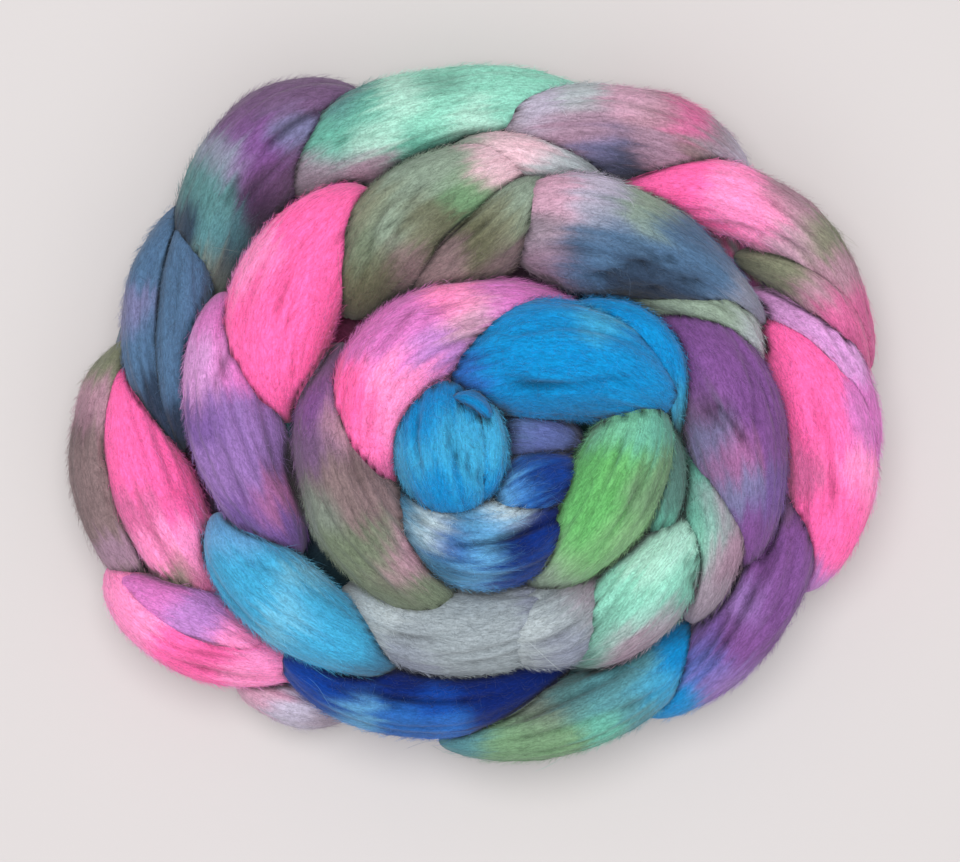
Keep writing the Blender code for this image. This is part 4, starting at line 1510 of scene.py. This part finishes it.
@dataclass
class CoilCore:
    """The inner turns that no fold shows, as a low dome of wool under the folds, darkened with painted shade.
    """

    reach_x: float = 92.0
    reach_y: float = 76.0
    profile: tuple[Place, ...] = (
        (0.94, 4.0), (1.0, 12.0), (0.9, 26.0), (0.68, 36.0), (0.4, 44.0), (0.2, 46.0),
    )
    sides: int = 96
    steps: int = 40
    map_radius: float = 60.0  # the size of its fibre map around, for a radian, and from bottom to top
    map_length: float = 150.0

    def build(self, wool: bpy.types.Material) -> None:
        """Build the dome from a ball that is drawn out to the profile."""
        shares, heights = zip(*((0.0, self.profile[0][1]), *self.profile, (0.0, self.profile[-1][1])))
        run = np.linspace(0.0, 1.0, len(shares))
        mesh = bmesh.new()
        made = bmesh.ops.create_uvsphere(mesh, u_segments=self.sides, v_segments=self.steps, radius=1.0)
        ball = np.array([vert.co for vert in made["verts"]])
        slope = np.arccos(np.clip(-ball[:, 2], -1.0, 1.0)) / math.pi
        turn = np.arctan2(ball[:, 1], ball[:, 0])
        share = np.interp(slope, run, shares)
        places = np.stack(
            (
                self.reach_x * share * np.cos(turn) + CENTRE_SHIFT[0],
                self.reach_y * share * np.sin(turn) + CENTRE_SHIFT[1],
                np.interp(slope, run, heights),
            ),
            1,
        )
        for vert, place in zip(made["verts"], places * MM):
            vert.co = place
        spots = all_spots()
        # painted shade: the core's dyes are darkened so that it shows as dark gaps between the folds
        dyes = blended_dye((places - CENTRE_SHIFT)[:, :2], spots, 9.0) * CORE_SHADE
        pole = np.hypot(ball[:, 0], ball[:, 1]) < POLE
        across = np.where(pole, np.nan, turn * self.map_radius)
        data = FoldSkin().finish(mesh, "core", dyes, np.stack((across, slope * self.map_length), 1))
        piece = new_piece("core", data, wool)
        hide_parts(SOLID_NODE)


@dataclass(frozen=True)
class SoftLight:
    """A round soft light that faces the coil. Its place and width are in metres, its power in watts."""

    name: str
    place: Point
    width: float
    power: float
    colour: Point

    def hang(self) -> None:
        """Put the light in the scene."""
        lamp = bpy.data.lights.new(self.name, "AREA")
        lamp.shape = "DISK"
        lamp.size, lamp.energy, lamp.color = self.width, self.power, self.colour
        light = bpy.data.objects.new(self.name, lamp)
        light.location = self.place
        light.rotation_euler = (-Vector(self.place)).to_track_quat("-Z", "Y").to_euler()
        bpy.context.scene.collection.objects.link(light)


@dataclass
class Studio:
    """The pale floor, the soft lights and the camera."""

    lights: tuple[SoftLight, ...] = (
        SoftLight("key_light", (-0.05, 0.15, 1.2), 0.7, 11.3, (1.0, 0.99, 0.975)),
        SoftLight("fill_light", (0.1, -0.6, 1.0), 1.4, 4.0, (0.98, 0.99, 1.0)),
    )
    room_colour: Point = (1.0, 0.985, 0.99)
    room_strength: float = 0.5
    camera_place: Point = (2.0, -4.8, 750.0)
    view_width: float = 284.16
    sensor: float = 36.0
    floor_size: float = 6.0
    floor_colour: Point = (0.58, 0.555, 0.555)
    floor_roughness: float = 0.9
    floor_gloss: float = 0.1

    def build(self) -> None:
        """Build everything around the coil."""
        self.lay_floor()
        for light in self.lights:
            light.hang()
        world = bpy.data.worlds.new("soft_room")
        world.use_nodes = True
        room = world.node_tree.nodes["Background"]
        room.inputs["Color"].default_value = (*self.room_colour, 1.0)
        room.inputs["Strength"].default_value = self.room_strength
        scene = bpy.context.scene
        scene.world = world
        scene.view_settings.view_transform = "Standard"
        lens = bpy.data.cameras.new("camera")
        lens.sensor_width = self.sensor
        lens.lens = self.sensor * self.camera_place[2] / self.view_width
        camera = bpy.data.objects.new("camera", lens)
        camera.location = Vector(self.camera_place) * MM
        scene.collection.objects.link(camera)
        scene.camera = camera

    def lay_floor(self) -> None:
        """Lay the plain pale floor."""
        mesh = bmesh.new()
        bmesh.ops.create_grid(mesh, x_segments=1, y_segments=1, size=0.5 * self.floor_size)
        data = bpy.data.meshes.new("floor")
        mesh.to_mesh(data)
        mesh.free()
        material = bpy.data.materials.new("pale_floor")
        material.use_nodes = True
        shader = material.node_tree.nodes["Principled BSDF"]
        shader.inputs["Base Color"].default_value = (*self.floor_colour, 1.0)
        shader.inputs["Roughness"].default_value = self.floor_roughness
        shader.inputs["Specular IOR Level"].default_value = self.floor_gloss
        data.materials.append(material)
        floor = bpy.data.objects.new("floor", data)
        bpy.context.scene.collection.objects.link(floor)


def main() -> None:
    """Build the studio and dress the coil."""
    logging.basicConfig(level=logging.INFO, format="%(message)s")
    Studio().build()
    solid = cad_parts[SOLID_NODE]
    buried = BVHTree.FromObject(solid, bpy.context.evaluated_depsgraph_get())
    wool, loose = Wool().make(), LooseWool().make()
    CoilCore().build(wool)
    back = CoilBack()
    crowd = Crowd((*OUTER_FOLDS, *SECOND_FOLDS, *INNER_FOLDS, *KNOT_FOLDS, *back.folds()))
    shop = Workshop(wool, loose, buried, crowd)
    back.build(shop)
    for turn in (
        TurnOfFolds("outer_turn", OUTER_FOLDS, 1100, {LYING: 7000, STANDING: 17500, WISPS: 140}),
        TurnOfFolds("second_turn", SECOND_FOLDS, 2100, {LYING: 6500, STANDING: 16500, WISPS: 60}),
        TurnOfFolds("inner_turn", INNER_FOLDS, 3100, {LYING: 4500, STANDING: 12500, WISPS: 30}),
        TurnOfFolds("knot", KNOT_FOLDS, 4100, {LYING: 1300, STANDING: 3600, WISPS: 10}),
    ):
        turn.build(shop)


if __name__ == "__main__":
    main()
